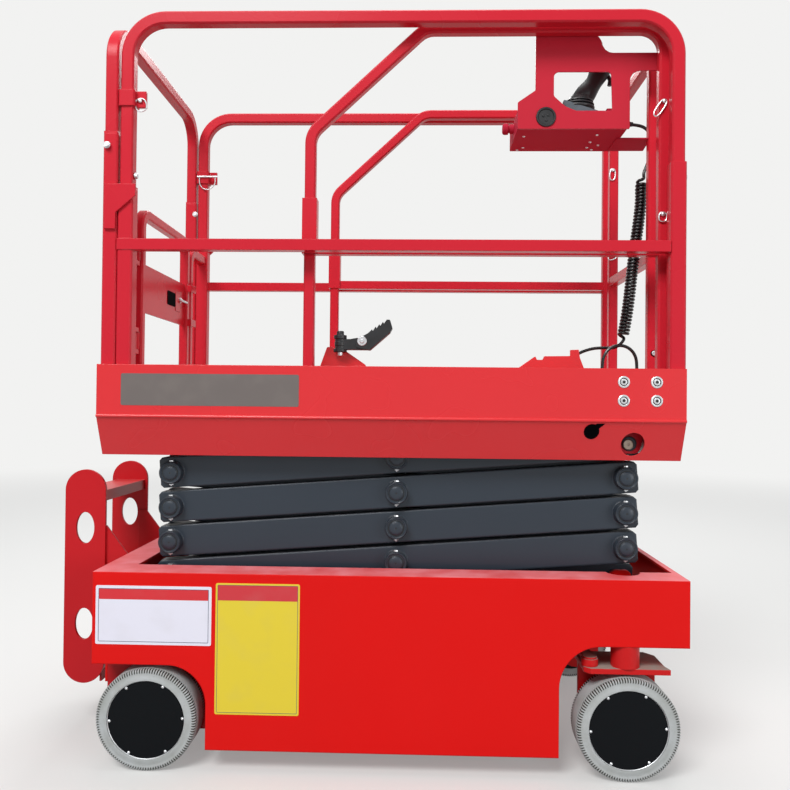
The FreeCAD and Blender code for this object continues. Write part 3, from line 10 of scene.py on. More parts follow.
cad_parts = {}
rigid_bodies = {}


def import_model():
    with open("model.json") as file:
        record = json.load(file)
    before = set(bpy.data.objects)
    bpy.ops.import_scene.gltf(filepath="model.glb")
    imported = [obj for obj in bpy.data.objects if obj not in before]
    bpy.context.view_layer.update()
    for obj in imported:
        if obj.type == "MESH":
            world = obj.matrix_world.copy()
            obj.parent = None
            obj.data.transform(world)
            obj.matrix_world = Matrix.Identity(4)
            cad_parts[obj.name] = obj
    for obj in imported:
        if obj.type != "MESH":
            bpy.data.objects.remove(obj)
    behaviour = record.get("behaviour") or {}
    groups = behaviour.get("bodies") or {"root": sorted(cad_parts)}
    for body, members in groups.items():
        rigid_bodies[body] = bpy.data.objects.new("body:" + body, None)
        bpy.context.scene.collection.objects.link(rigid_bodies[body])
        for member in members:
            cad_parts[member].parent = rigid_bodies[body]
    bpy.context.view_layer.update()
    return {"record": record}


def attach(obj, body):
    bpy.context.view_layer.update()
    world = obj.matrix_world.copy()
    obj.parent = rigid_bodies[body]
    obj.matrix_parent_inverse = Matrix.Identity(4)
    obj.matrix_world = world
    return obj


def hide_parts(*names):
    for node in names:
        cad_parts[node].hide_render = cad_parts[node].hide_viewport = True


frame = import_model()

# Scissor lift with a railed platform and a sliding deck. Metres, +Z up, +X towards the steered wheels.
# The side at negative Y is the near side, the one that the photograph shows.

# The photograph is 790 pixels square. The camera was worked out from the machine's own corners.
FRAME_PX = 790
FOCAL_PX = 784.4
CAMERA_PLACE = Vector((0.1454, -2.1485, 0.8376))
CAMERA_YAW = -0.0299
CAMERA_PITCH = 0.0116
CAMERA_ROLL = 0.0100


def make_camera():
    """Turns the camera's axes by yaw about Z, pitch about its right and roll about its view."""
    ahead = Vector((math.sin(CAMERA_YAW) * math.cos(CAMERA_PITCH),
                    math.cos(CAMERA_YAW) * math.cos(CAMERA_PITCH), math.sin(CAMERA_PITCH)))
    level = Vector((math.cos(CAMERA_YAW), -math.sin(CAMERA_YAW), 0.0))
    above = level.cross(ahead)
    right = level * math.cos(CAMERA_ROLL) + above * math.sin(CAMERA_ROLL)
    up = above * math.cos(CAMERA_ROLL) - level * math.sin(CAMERA_ROLL)
    data = bpy.data.cameras.new("camera")
    data.sensor_width = 36.0
    data.lens = FOCAL_PX * data.sensor_width / FRAME_PX
    data.clip_start = 0.05
    camera = bpy.data.objects.new("camera", data)
    turn = Matrix((right, up, -ahead)).transposed().to_4x4()
    camera.matrix_world = Matrix.Translation(CAMERA_PLACE) @ turn
    bpy.context.scene.collection.objects.link(camera)
    bpy.context.scene.camera = camera


make_camera()


# Helpers for meshes

def add_mesh(name, shape, sharp=35.0, groove=None):
    """One closed mesh from points and faces: doubles merged, faces turned outwards, edges over sharp degrees
    kept. The groove values, one a point, are kept on the mesh for the finish."""
    verts, faces = shape
    mesh = bpy.data.meshes.new(name)
    mesh.from_pydata(np.asarray(verts, float).tolist(), [], [list(f) for f in faces])
    if groove is not None:
        mesh.attributes.new("groove", "FLOAT", "POINT").data.foreach_set("value", np.ravel(groove))
    work = bmesh.new()
    work.from_mesh(mesh)
    bmesh.ops.remove_doubles(work, verts=work.verts, dist=1e-6)
    bmesh.ops.recalc_face_normals(work, faces=work.faces)
    work.to_mesh(mesh)
    work.free()
    mesh.polygons.foreach_set("use_smooth", np.full(len(mesh.polygons), True))
    mesh.set_sharp_from_angle(angle=math.radians(sharp))
    piece = bpy.data.objects.new(name, mesh)
    bpy.context.scene.collection.objects.link(piece)
    return piece


def grid_faces(rows, columns, closed_rows=False, closed_columns=True, start=0):
    """Quads between neighbouring points of a rows by columns grid, wrapping round where it is closed."""
    i = np.arange(rows if closed_rows else rows - 1)
    j = np.arange(columns if closed_columns else columns - 1)
    i, j = np.meshgrid(i, j, indexing="ij")
    i2 = (i + 1) % rows
    j2 = (j + 1) % columns
    quads = np.stack([i * columns + j, i * columns + j2, i2 * columns + j2, i2 * columns + j], -1)
    return quads.reshape(-1, 4) + start


def turned(profile, segments, centre, axis, phase=0.0):
    """Surface of revolution: each profile point (distance from the axis, place along it) is carried
    round the axis at equal angles; the first and last points lie on the axis, so the ends are closed."""
    profile = np.asarray(profile, float)
    axis = np.asarray(axis, float) / np.linalg.norm(axis)
    side = np.cross(axis, (0.0, 0.0, 1.0)) if abs(axis[2]) < 0.9 else np.array((1.0, 0.0, 0.0))
    side = side / np.linalg.norm(side)
    other = np.cross(axis, side)
    angle = np.linspace(0, 2 * np.pi, segments, endpoint=False) + phase
    ring = np.cos(angle)[:, None] * side + np.sin(angle)[:, None] * other
    verts = (profile[:, None, 0:1] * ring[None] + profile[:, None, 1:2] * axis + np.asarray(centre)).reshape(-1, 3)
    return verts, grid_faces(len(profile), segments)


def repeated(shape, places):
    """The shape set down at every place: its points plus each place in turn."""
    verts, faces = np.asarray(shape[0], float), np.asarray(shape[1])
    places = np.asarray(places, float)
    moved = (verts[None] + places[:, None]).reshape(-1, 3)
    steps = np.arange(len(places)) * len(verts)
    return moved, (faces[None] + steps[:, None, None]).reshape(-1, faces.shape[1])


def joined(parts):
    """One list of points and faces from several."""
    verts, faces, start = [], [], 0
    for v, f in parts:
        verts.append(np.asarray(v, float))
        faces += [[int(i) + start for i in face] for face in f]
        start += len(v)
    return np.concatenate(verts), faces


def rounded(x0, x1, z0, z1, corner, steps=6):
    """Rectangle whose corners are quarter circles, as points anticlockwise from its lower right."""
    turn = np.linspace(0, np.pi / 2, steps)
    centres = ((x1 - corner, z0 + corner, -np.pi / 2), (x1 - corner, z1 - corner, 0.0),
               (x0 + corner, z1 - corner, np.pi / 2), (x0 + corner, z0 + corner, np.pi))
    return np.concatenate([np.stack([x + corner * np.cos(turn + a), z + corner * np.sin(turn + a)], -1)
                           for x, z, a in centres])


def slab(outline, low, high, axes=(0, 2, 1), bevel=0.0):
    """Flat outline carried from low to high, its upper edge drawn in by the bevel; axes are the two
    axes of the outline and the one it is carried along."""
    outline = np.asarray(outline, float)
    n = len(outline)
    middle = outline.mean(0)
    inward = (middle - outline) / np.linalg.norm(middle - outline, axis=1)[:, None]
    step = math.copysign(abs(bevel), high - low)
    rings = [(outline, low), (outline, high - step), (outline + inward * abs(bevel), high)]
    if bevel == 0.0:
        rings = rings[:1] + [(outline, high)]
    verts = np.zeros((len(rings) * n, 3))
    for k, (ring, level) in enumerate(rings):
        verts[k * n:(k + 1) * n, axes[0]] = ring[:, 0]
        verts[k * n:(k + 1) * n, axes[1]] = ring[:, 1]
        verts[k * n:(k + 1) * n, axes[2]] = level
    faces = grid_faces(len(rings), n).tolist()
    faces += [list(range(n))[::-1], list(range((len(rings) - 1) * n, len(rings) * n))]
    return verts, faces


def swept(line, up, radius, sides):
    """Round tube: circles of the radius, one value or one a point, square to the line, with up as their
    first direction; ends closed."""
    line = np.asarray(line, float)
    radius = (np.asarray(radius, float) * np.ones(len(line)))[:, None, None]
    ahead = np.gradient(line, axis=0)
    ahead /= np.linalg.norm(ahead, axis=1)[:, None]
    up = np.asarray(up, float) * np.ones((len(line), 1))
    up = up - (up * ahead).sum(1)[:, None] * ahead
    up /= np.linalg.norm(up, axis=1)[:, None]
    side = np.cross(ahead, up)
    angle = np.linspace(0, 2 * np.pi, sides, endpoint=False)
    round_line = np.cos(angle)[None, :, None] * up[:, None] + np.sin(angle)[None, :, None] * side[:, None]
    verts = (line[:, None] + radius * round_line).reshape(-1, 3)
    faces = grid_faces(len(line), sides).tolist()
    last = (len(line) - 1) * sides
    faces += [list(range(sides))[::-1], list(range(last, last + sides))]
    return verts, faces


def hoop(line, radius, sides=8):
    """Closed round tube: circles of the radius, square to a line whose last point joins its first."""
    line = np.asarray(line, float)
    ahead = np.roll(line, -1, 0) - np.roll(line, 1, 0)
    ahead /= np.linalg.norm(ahead, axis=1)[:, None]
    flat = np.cross(line[len(line) // 3] - line[0], line[2 * len(line) // 3] - line[0])
    flat /= np.linalg.norm(flat)
    side = np.cross(ahead, flat)
    angle = np.linspace(0, 2 * np.pi, sides, endpoint=False)[None, :, None]
    verts = line[:, None] + radius * (np.cos(angle) * flat + np.sin(angle) * side[:, None])
    return verts.reshape(-1, 3), grid_faces(len(line), sides, closed_rows=True)


def link_line(centre, along, across, long, wide, points=32):
    """Oval loop about the centre: a superellipse, long by wide, in the plane of the two directions."""
    angle = np.linspace(0, 2 * np.pi, points, endpoint=False)
    along, across = [np.asarray(v, float) / np.linalg.norm(v) for v in (along, across)]
    a = np.sign(np.cos(angle)) * np.abs(np.cos(angle)) ** 0.8 * long / 2
    b = np.sign(np.sin(angle)) * np.abs(np.sin(angle)) ** 0.8 * wide / 2
    return np.asarray(centre) + (a[:, None] * along + b[:, None] * across) / 1000


def filleted(points, radii, steps=5):
    """Outline in millimetres whose corners are arcs of the radii, each touching both of its runs."""
    points, out = np.asarray(points, float), []
    for k, radius in enumerate(radii):
        here = points[k]
        back, on = points[k - 1] - here, points[(k + 1) % len(points)] - here
        back, on = back / np.linalg.norm(back), on / np.linalg.norm(on)
        half = math.acos(np.clip(back @ on, -1, 1)) / 2
        if radius == 0 or half > 1.55:
            out.append(here[None])
            continue
        centre = here + (back + on) / np.linalg.norm(back + on) * radius / math.sin(half)
        reach = radius / math.tan(half)
        first, last = here + back * reach - centre, here + on * reach - centre
        share = np.linspace(0, 1, steps)[:, None]
        arc = first * (1 - share) + last * share
        out.append(centre + arc / np.linalg.norm(arc, axis=1)[:, None] * radius)
    return np.concatenate(out)


def plate(loops, low, high, axes=(0, 2, 1)):
    """Flat sheet between two levels, in millimetres: the first loop is its outline and the others its
    openings. Both faces are the loops' triangles, and a wall stands on each loop."""
    triangles = [list(t) for t in tessellate_polygon([[Vector((a, b, 0.0)) for a, b in loop] for loop in loops])]
    points = np.concatenate(loops)
    n = len(points)
    verts = np.zeros((2, n, 3))
    verts[:, :, axes[0]], verts[:, :, axes[1]] = points[:, 0], points[:, 1]
    verts[0, :, axes[2]], verts[1, :, axes[2]] = low, high
    faces, start = triangles + [[i + n for i in t] for t in triangles], 0
    for loop in loops:
        i = np.arange(len(loop))
        j = (i + 1) % len(loop)
        faces += (np.stack([i, j, j + n, i + n], -1) + start).tolist()
        start += len(loop)
    return (verts.reshape(-1, 3) + (ORIGIN_SHIFT, 0, 0)) / 1000, faces


def band(outer, inner, low, high, axes=(0, 2, 1)):
    """Flat ring between two outlines of as many points, carried from low to high."""
    rings = ((outer, low), (outer, high), (inner, high), (inner, low))
    n = len(outer)
    verts = np.zeros((4 * n, 3))
    for k, (ring, level) in enumerate(rings):
        verts[k * n:(k + 1) * n, axes[0]] = ring[:, 0]
        verts[k * n:(k + 1) * n, axes[1]] = ring[:, 1]
        verts[k * n:(k + 1) * n, axes[2]] = level
    return verts, grid_faces(4, n, closed_rows=True)


def fitted(piece, body, material):
    """The piece rides on its body and takes its finish."""
    piece.data.materials.append(material)
    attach(piece, body)
    return piece


def mm(*values):
    """Modelling coordinates in millimetres, from the chassis centre, as a point in metres."""
    x, y, z = values
    return ((x + ORIGIN_SHIFT) / 1000, y / 1000, z / 1000)


# Cable: a plain tail from the control box, the coiled stretch, and a plain tail to the sliding deck

ORIGIN_SHIFT = 81.125    # the chassis centre, ahead of the origin
CORD_D = 0.008
COIL_OUTER_R = 0.015
COIL_PITCH = 0.0086
COIL_RAMP = 0.036        # length over which the turns open out
COIL_BEYOND = 0.024      # of which this lies past each end of the coil's tube
COIL_PHASE = 4.2         # turns the coil about its line, so that it lets the tail go on the tail's own side
UPPER_ROUTE = ((571.0, -156.0, 1551.0), (600.0, -156.0, 1551.0), (634.0, -156.0, 1543.0),
               (651.0, -156.0, 1510.0), (642.0, -156.0, 1463.0), (620.0, -156.0, 1410.0))
COIL_ROUTE = ((622.0, -156.0, 1348.7), (603.9, -156.0, 1219.0), (591.0, -156.0, 1086.4), (578.0, -156.0, 1012.0))
LOWER_ROUTE = ((572.0, -156.0, 994.0), (556.0, -156.0, 984.0), (533.0, -157.0, 985.0), (500.0, -159.0, 983.0),
               (466.0, -162.0, 971.0), (437.0, -165.0, 949.0), (421.0, -168.0, 917.0), (427.0, -171.0, 880.0),
               (457.0, -174.0, 857.0), (492.0, -176.0, 862.0), (514.0, -178.0, 888.0), (521.0, -180.0, 925.0),
               (523.0, -181.0, 965.0), (547.0, -181.0, 989.0), (581.0, -181.0, 989.0), (605.0, -181.0, 965.0),
               (607.0, -181.0, 925.0), (606.0, -181.0, 878.0), (606.0, -181.0, 828.3))


def route_line(points):
    """Points along the smooth line that the route's control points draw."""
    curve = bpy.data.curves.new("cable_route", "CURVE")
    curve.dimensions = "3D"
    curve.resolution_u = 16
    spline = curve.splines.new("NURBS")
    spline.points.add(len(points) - 1)
    spline.points.foreach_set("co", np.ravel([p + (1.0,) for p in points]))
    spline.order_u = 3
    spline.use_endpoint_u = True
    holder = bpy.data.objects.new("cable_route", curve)
    mesh = bpy.data.meshes.new_from_object(holder)
    line = np.empty(len(mesh.vertices) * 3)
    mesh.vertices.foreach_get("co", line)
    bpy.data.objects.remove(holder)
    bpy.data.curves.remove(curve)
    bpy.data.meshes.remove(mesh)
    return line.reshape(-1, 3)


def even_steps(line, step):
    """The same line with its points at equal distances, and those distances from its start."""
    run = np.concatenate([[0.0], np.cumsum(np.linalg.norm(np.diff(line, axis=0), axis=1))])
    along = np.linspace(0.0, run[-1], int(run[-1] / step) + 1)
    return np.stack([np.interp(along, run, line[:, k]) for k in range(3)], -1), along


def smooth_step(x):
    x = np.clip(x, 0.0, 1.0)
    return x * x * (3 - 2 * x)


def cable_shape():
    """The line leaves the route by a radius that opens over a ramp at each end of the coiled stretch,
    and turns about it once every pitch where it is fully open, slower by the fifth power of the
    opening where it is not, so that it is a helix there and plain elsewhere."""
    line, along = even_steps(route_line([mm(*p) for p in UPPER_ROUTE + COIL_ROUTE + LOWER_ROUTE]), COIL_PITCH / 30)
    top = along[np.argmin(np.linalg.norm(line - mm(*UPPER_ROUTE[-1]), axis=1))] - COIL_BEYOND
    bottom = along[np.argmin(np.linalg.norm(line - mm(*COIL_ROUTE[-1]), axis=1))] + COIL_BEYOND
    opened = smooth_step((along - top) / COIL_RAMP) * smooth_step((bottom - along) / COIL_RAMP)
    turn = np.cumsum(opened ** 5) * (along[1] - along[0]) * 2 * np.pi / COIL_PITCH + COIL_PHASE
    ahead = np.gradient(line, axis=0)
    ahead /= np.linalg.norm(ahead, axis=1)[:, None]
    across = np.array((0.0, 1.0, 0.0)) - ahead[:, 1:2] * ahead
    across /= np.linalg.norm(across, axis=1)[:, None]
    normal = np.cross(across, ahead)
    outward = np.cos(turn)[:, None] * normal + np.sin(turn)[:, None] * across
    path = line + outward * (opened * (COIL_OUTER_R - CORD_D / 2))[:, None]
    run = np.concatenate([[0.0], np.cumsum(np.linalg.norm(np.diff(path, axis=0), axis=1))])
    steps = np.linspace(0.0, run[-1], int(run[-1] / 0.0032) + 1)
    path, outward = [np.stack([np.interp(steps, run, v[:, k]) for k in range(3)], -1) for v in (path, outward)]
    return path, outward


cable_path, cable_up = cable_shape()
cable = add_mesh("cable", swept(cable_path, cable_up, CORD_D / 2, 10))
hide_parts("cable_upper", "cable_coil", "cable_lower")
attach(cable, "extension")


# Finishes

def linear(code):
    """An sRGB hex colour in linear light."""
    channels = [int(code[i:i + 2], 16) / 255 for i in (1, 3, 5)]
    return tuple(c / 12.92 if c <= 0.04045 else ((c + 0.055) / 1.055) ** 2.4 for c in channels) + (1.0,)


def add_node(tree, kind, settings=None, inputs=None):
    """Adds one node with its settings; each input is a value, or the socket that feeds it."""
    node = tree.nodes.new("ShaderNode" + kind)
    for name, value in (settings or {}).items():
        setattr(node, name, value)
    for name, value in (inputs or {}).items():
        if isinstance(value, bpy.types.NodeSocket):
            tree.links.new(value, node.inputs[name])
        else:
            node.inputs[name].default_value = value
    return node


def new_material(name, **values):
    """A material with its shader; values are the shader's constant inputs."""
    material = bpy.data.materials.new(name)
    material.use_nodes = True
    tree = material.node_tree
    tree.nodes.clear()
    shader = add_node(tree, "BsdfPrincipled", None, {key.replace("_", " "): v for key, v in values.items()})
    add_node(tree, "OutputMaterial", None, {"Surface": shader.outputs[0]})
    return material, tree, shader


MIX_A, MIX_B, MIX_OUT = 6, 7, 2      # colour sockets of a Mix node


def coated_steel(name, code, worn, roughness, shine, fold=0.0014, drift=0.02, wear=0.4, dust=0.10, peel=0.06,
                 settled="#9a8f86"):
    """Powder-coated or enamelled steel: a smooth skin with fine orange peel, a little uneven in tone from sheet to
    sheet, rubbed through along the edges, and on what faces up mixed towards a second colour, which is dust by default
    and a painted highlight where a pale colour is given, as for the chassis. Its folds are rounded by the fold's
    radius."""
    material, tree, shader = new_material(name, Specular_IOR_Level=shine)
    place = add_node(tree, "TexCoord").outputs["Object"]
    # Tone drifts over about 400 mm
    cloud = add_node(tree, "TexNoise", None, {"Vector": place, "Scale": 1 / 0.4, "Detail": 1.0})
    spread = add_node(tree, "MapRange", None, {"Value": cloud.outputs[0], "From Min": 0.3, "From Max": 0.7,
                                               "To Min": 1 - drift, "To Max": 1 + drift})
    tone = add_node(tree, "HueSaturation", None, {"Value": spread.outputs[0], "Color": linear(code)})
    # Rubbed edges: where a rounded normal leaves the flat one, broken up by marks of about 9 mm
    flat = add_node(tree, "NewGeometry")
    wide = add_node(tree, "Bevel", {"samples": 4}, {"Radius": 0.0025})
    lean = add_node(tree, "VectorMath", {"operation": "DOT_PRODUCT"}, {0: wide.outputs[0], 1: flat.outputs["Normal"]})
    edge = add_node(tree, "MapRange", None, {"Value": lean.outputs["Value"], "From Min": 0.985, "From Max": 0.80,
                                             "To Min": 0.0, "To Max": 1.0})
    marks = add_node(tree, "TexNoise", None, {"Vector": place, "Scale": 1 / 0.009, "Detail": 4.0, "Roughness": 0.7})
    broken = add_node(tree, "MapRange", None, {"Value": marks.outputs[0], "From Min": 0.52, "From Max": 0.66,
                                               "To Min": 0.0, "To Max": wear})
    rubbed = add_node(tree, "Math", {"operation": "MULTIPLY"}, {0: edge.outputs[0], 1: broken.outputs[0]})
    chipped = add_node(tree, "Mix", {"data_type": "RGBA"}, {"Factor": rubbed.outputs[0], MIX_A: tone.outputs[0],
                                                           MIX_B: linear(worn)})
    # Upward faces mixed towards that colour in patches of about 60 mm: dust, and where the colour is pale a painted
    # highlight
    split = add_node(tree, "SeparateXYZ", None, {0: flat.outputs["Normal"]})
    patch = add_node(tree, "TexNoise", None, {"Vector": place, "Scale": 1 / 0.06, "Detail": 4.0})
    upward = add_node(tree, "MapRange", None, {"Value": split.outputs["Z"], "From Min": 0.6, "From Max": 1.0,
                                               "To Min": 0.0, "To Max": 2 * dust})
    dusty = add_node(tree, "Math", {"operation": "MULTIPLY"}, {0: upward.outputs[0], 1: patch.outputs[0]})
    colour = add_node(tree, "Mix", {"data_type": "RGBA"}, {"Factor": dusty.outputs[0], MIX_A: chipped.outputs[MIX_OUT],
                                                          MIX_B: linear(settled)})
    tree.links.new(colour.outputs[MIX_OUT], shader.inputs["Base Color"])
    # Gloss is a little uneven over about 120 mm, and duller under the upward mix of dust and painted highlight
    haze = add_node(tree, "TexNoise", None, {"Vector": place, "Scale": 1 / 0.12, "Detail": 1.0})
    sheen = add_node(tree, "MapRange", None, {"Value": haze.outputs[0], "From Min": 0.3, "From Max": 0.7,
                                              "To Min": roughness - 0.03, "To Max": roughness + 0.03})
    dulled = add_node(tree, "Math", {"operation": "MULTIPLY_ADD"}, {0: dusty.outputs[0], 1: 0.6, 2: sheen.outputs[0]})
    tree.links.new(dulled.outputs[0], shader.inputs["Roughness"])
    # Orange peel, 3 mm from crest to crest, over the rounded folds
    soft = add_node(tree, "Bevel", {"samples": 6}, {"Radius": fold})
    crest = add_node(tree, "TexNoise", None, {"Vector": place, "Scale": 1 / 0.003, "Detail": 1.0})
    skin = add_node(tree, "Bump", None, {"Strength": peel, "Distance": 0.0004, "Height": crest.outputs[0],
                                         "Normal": soft.outputs[0]})
    tree.links.new(skin.outputs[0], shader.inputs["Normal"])
    return material


def tyre_rubber():
    """Non-marking solid rubber, moulded: matt pale grey, mottled, and darker in its tread grooves."""
    material, tree, shader = new_material("non_marking_rubber", Roughness=0.82, IOR=1.52, Specular_IOR_Level=0.3)
    place = add_node(tree, "TexCoord").outputs["Object"]
    cloud = add_node(tree, "TexNoise", None, {"Vector": place, "Scale": 1 / 0.05, "Detail": 5.0, "Roughness": 0.6})
    fine = add_node(tree, "TexNoise", None, {"Vector": place, "Scale": 1 / 0.004, "Detail": 3.0})
    ramp = add_node(tree, "MapRange", None, {"Value": cloud.outputs[0], "From Min": 0.35, "From Max": 0.7})
    stain = add_node(tree, "Mix", {"data_type": "RGBA"}, {"Factor": ramp.outputs[0], MIX_A: linear("#b6babb"),
                                                         MIX_B: linear("#a3a6a3")})
    speck = add_node(tree, "MapRange", None, {"Value": fine.outputs[0], "From Min": 0.6, "From Max": 0.8,
                                              "To Min": 0.0, "To Max": 0.35})
    gritty = add_node(tree, "Mix", {"data_type": "RGBA"}, {"Factor": speck.outputs[0], MIX_A: stain.outputs[MIX_OUT],
                                                          MIX_B: linear("#77766f")})
    cut = add_node(tree, "Attribute", {"attribute_name": "groove"})
    colour = add_node(tree, "Mix", {"data_type": "RGBA"}, {"Factor": cut.outputs["Fac"], MIX_A: gritty.outputs[MIX_OUT],
                                                          MIX_B: linear("#35332e")})
    tree.links.new(colour.outputs[MIX_OUT], shader.inputs["Base Color"])
    skin = add_node(tree, "Bump", None, {"Strength": 0.2, "Distance": 0.0004, "Height": fine.outputs[0]})
    tree.links.new(skin.outputs[0], shader.inputs["Normal"])
    return material


def moulded_plastic(name, code, roughness, grain, shine=0.5):
    """Moulded black plastic or rubber: an even colour with a fine eroded grain of the given size."""
    material, tree, shader = new_material(name, IOR=1.49, Specular_IOR_Level=shine)
    place = add_node(tree, "TexCoord").outputs["Object"]
    cloud = add_node(tree, "TexNoise", None, {"Vector": place, "Scale": 1 / 0.02, "Detail": 4.0})
    tone = add_node(tree, "MapRange", None, {"Value": cloud.outputs[0], "From Min": 0.3, "From Max": 0.7,
                                             "To Min": 0.85, "To Max": 1.2})
    colour = add_node(tree, "HueSaturation", None, {"Value": tone.outputs[0], "Color": linear(code)})
    tree.links.new(colour.outputs[0], shader.inputs["Base Color"])
    sheen = add_node(tree, "MapRange", None, {"Value": cloud.outputs[0], "From Min": 0.3, "From Max": 0.7,
                                              "To Min": roughness - 0.06, "To Max": roughness + 0.08})
    tree.links.new(sheen.outputs[0], shader.inputs["Roughness"])
    grit = add_node(tree, "TexNoise", None, {"Vector": place, "Scale": 1 / grain, "Detail": 2.0})
    soft = add_node(tree, "Bevel", {"samples": 4}, {"Radius": 0.001})
    skin = add_node(tree, "Bump", None, {"Strength": 0.2, "Distance": 0.0002, "Height": grit.outputs[0],
                                         "Normal": soft.outputs[0]})
    tree.links.new(skin.outputs[0], shader.inputs["Normal"])
    return material


def bare_metal(name, code, roughness, grain):
    """Zinc-plated, machined or chromed steel: metal, its haze broken up by fine marks of the given size."""
    material, tree, shader = new_material(name, Metallic=1.0, Base_Color=linear(code))
    place = add_node(tree, "TexCoord").outputs["Object"]
    marks = add_node(tree, "TexNoise", None, {"Vector": place, "Scale": 1 / grain, "Detail": 5.0, "Roughness": 0.7})
    haze = add_node(tree, "MapRange", None, {"Value": marks.outputs[0], "From Min": 0.3, "From Max": 0.7,
                                             "To Min": roughness * 0.7, "To Max": roughness * 1.4})
    tree.links.new(haze.outputs[0], shader.inputs["Roughness"])
    soft = add_node(tree, "Bevel", {"samples": 4}, {"Radius": 0.0006})
    skin = add_node(tree, "Bump", None, {"Strength": 0.1, "Distance": 0.0001, "Height": marks.outputs[0],
                                         "Normal": soft.outputs[0]})
    tree.links.new(skin.outputs[0], shader.inputs["Normal"])
    return material


def printed_vinyl(name, code, roughness=0.38):
    """Printed vinyl on a flat sheet: an even film that lifts a little and has taken fine dust."""
    material, tree, shader = new_material(name, IOR=1.5)
    place = add_node(tree, "TexCoord").outputs["Object"]
    cloud = add_node(tree, "TexNoise", None, {"Vector": place, "Scale": 1 / 0.06, "Detail": 3.0})
    ramp = add_node(tree, "MapRange", None, {"Value": cloud.outputs[0], "From Min": 0.5, "From Max": 0.85,
                                             "To Min": 0.0, "To Max": 0.10})
    colour = add_node(tree, "Mix", {"data_type": "RGBA"}, {"Factor": ramp.outputs[0], MIX_A: linear(code),
                                                          MIX_B: linear("#a79d92")})
    tree.links.new(colour.outputs[MIX_OUT], shader.inputs["Base Color"])
    sheen = add_node(tree, "MapRange", None, {"Value": cloud.outputs[0], "From Min": 0.3, "From Max": 0.7,
                                              "To Min": roughness - 0.06, "To Max": roughness + 0.1})
    tree.links.new(sheen.outputs[0], shader.inputs["Roughness"])
    waves = add_node(tree, "TexNoise", None, {"Vector": place, "Scale": 1 / 0.012, "Detail": 1.0})
    skin = add_node(tree, "Bump", None, {"Strength": 0.06, "Distance": 0.0006, "Height": waves.outputs[0]})
    tree.links.new(skin.outputs[0], shader.inputs["Normal"])
    return material


# The chassis' upward faces go towards pale pink: a painted highlight of the sky on its top flange
chassis_enamel = coated_steel("red_enamel", "#dc110f", "#8a4a44", 0.32, 0.16, fold=0.0040, dust=0.40, settled="#ffb4bb")
platform_enamel = coated_steel("red_enamel_platform", "#d9292f", "#a2605a", 0.26, 0.42, fold=0.0020)
# The rails' and posts' red: the platform's red made darker and bluer, painted shade
shaded_rail_enamel = coated_steel("red_enamel_rails_shaded", "#c92433", "#b98a88", 0.26, 0.15, fold=0.0024, peel=0.10)
plate_enamel = coated_steel("red_enamel_plates", "#c02a3a", "#c9989a", 0.30, 0.12, fold=0.0020, peel=0.14)
# The box behind the guard: the guard's red made a little darker and duller, painted shade for the box seen from below
shaded_box_enamel = coated_steel("red_enamel_box_shaded", "#bb2b42", "#c9989a", 0.55, 0.02, fold=0.0020, peel=0.14)
step_enamel = coated_steel("red_enamel_steps", "#c01a22", "#8a4a44", 0.34, 0.20, fold=0.0020)
knuckle_enamel = coated_steel("red_enamel_knuckles", "#c4181a", "#6e5148", 0.40, 0.22, fold=0.0020, wear=0.8, dust=0.85)
arm_coating = coated_steel("slate_powder_coat", "#29323c", "#8a8a86", 0.36, 0.38, fold=0.0060, drift=0.05, peel=0.10)
cap_coating = coated_steel("black_powder_coat", "#04070b", "#55534f", 0.45, 0.12, fold=0.0012)
tyre_finish = tyre_rubber()
# Matt black with almost no reflection, laid into openings as painted shade
painted_shade_black = moulded_plastic("matt_black_painted_shade", "#050608", 0.90, 0.0012, shine=0.02)
box_plastic = moulded_plastic("black_nylon", "#0d0f13", 0.42, 0.0012)
cable_jacket = moulded_plastic("black_polyurethane_jacket", "#08090b", 0.26, 0.0010)
battery_case = moulded_plastic("black_polypropylene", "#1a1b1c", 0.55, 0.0018)
zinc = bare_metal("zinc_plated_steel", "#c9cbce", 0.34, 0.004)
machined = bare_metal("machined_steel", "#b9babb", 0.30, 0.003)
hard_chrome = bare_metal("hard_chrome", "#dcdddd", 0.10, 0.006)
bronze = bare_metal("oiled_steel", "#8d7f74", 0.38, 0.003)
grey_abs = moulded_plastic("grey_abs", "#4b565d", 0.45, 0.0012)
nylon_strip = moulded_plastic("white_nylon", "#c9c8c2", 0.5, 0.002)

cable.data.materials.append(cable_jacket)

FINISHES = {"chassis_paint": chassis_enamel, "platform_paint": shaded_rail_enamel, "arm_paint": arm_coating,
            "tyre": tyre_finish, "wheel_cap": cap_coating, "steel": machined, "chrome": hard_chrome,
            "black_plastic": box_plastic}
OWN_FINISH = {"battery_block": battery_case, "slide_strips": nylon_strip, "platform_tray": platform_enamel,
              "extension_deck": platform_enamel, "pedal_bracket": platform_enamel, "cable_bracket": platform_enamel,
              "control_box": plate_enamel, "steps": step_enamel, "chassis_deck": step_enamel, "knuckle_near": knuckle_enamel,
              "knuckle_far": knuckle_enamel, "tie_rod": knuckle_enamel}

for row in frame["record"]["subparts"]:
    piece = bpy.data.objects[row["node"]]
    finish = OWN_FINISH.get(row["node"], FINISHES[row["material_slot"]])
    for place in piece.material_slots:
        place.material = finish


# Tyres: solid rubber with short axial grooves cut in from both edges of the tread

WHEELS = (("rear", -548.0), ("front", 540.0))        # name, axle from the chassis centre
SIDES = (("near", -1), ("far", 1))
TYRE_R = 115.0
TYRE_BORE = 89.3
TYRE_IN, TYRE_OUT = 300.0, 380.0
TEETH = 118
GROOVE_DEEP = 2.2
GROOVE_LONG = 15.0
TREAD_COLUMNS = TEETH * 6


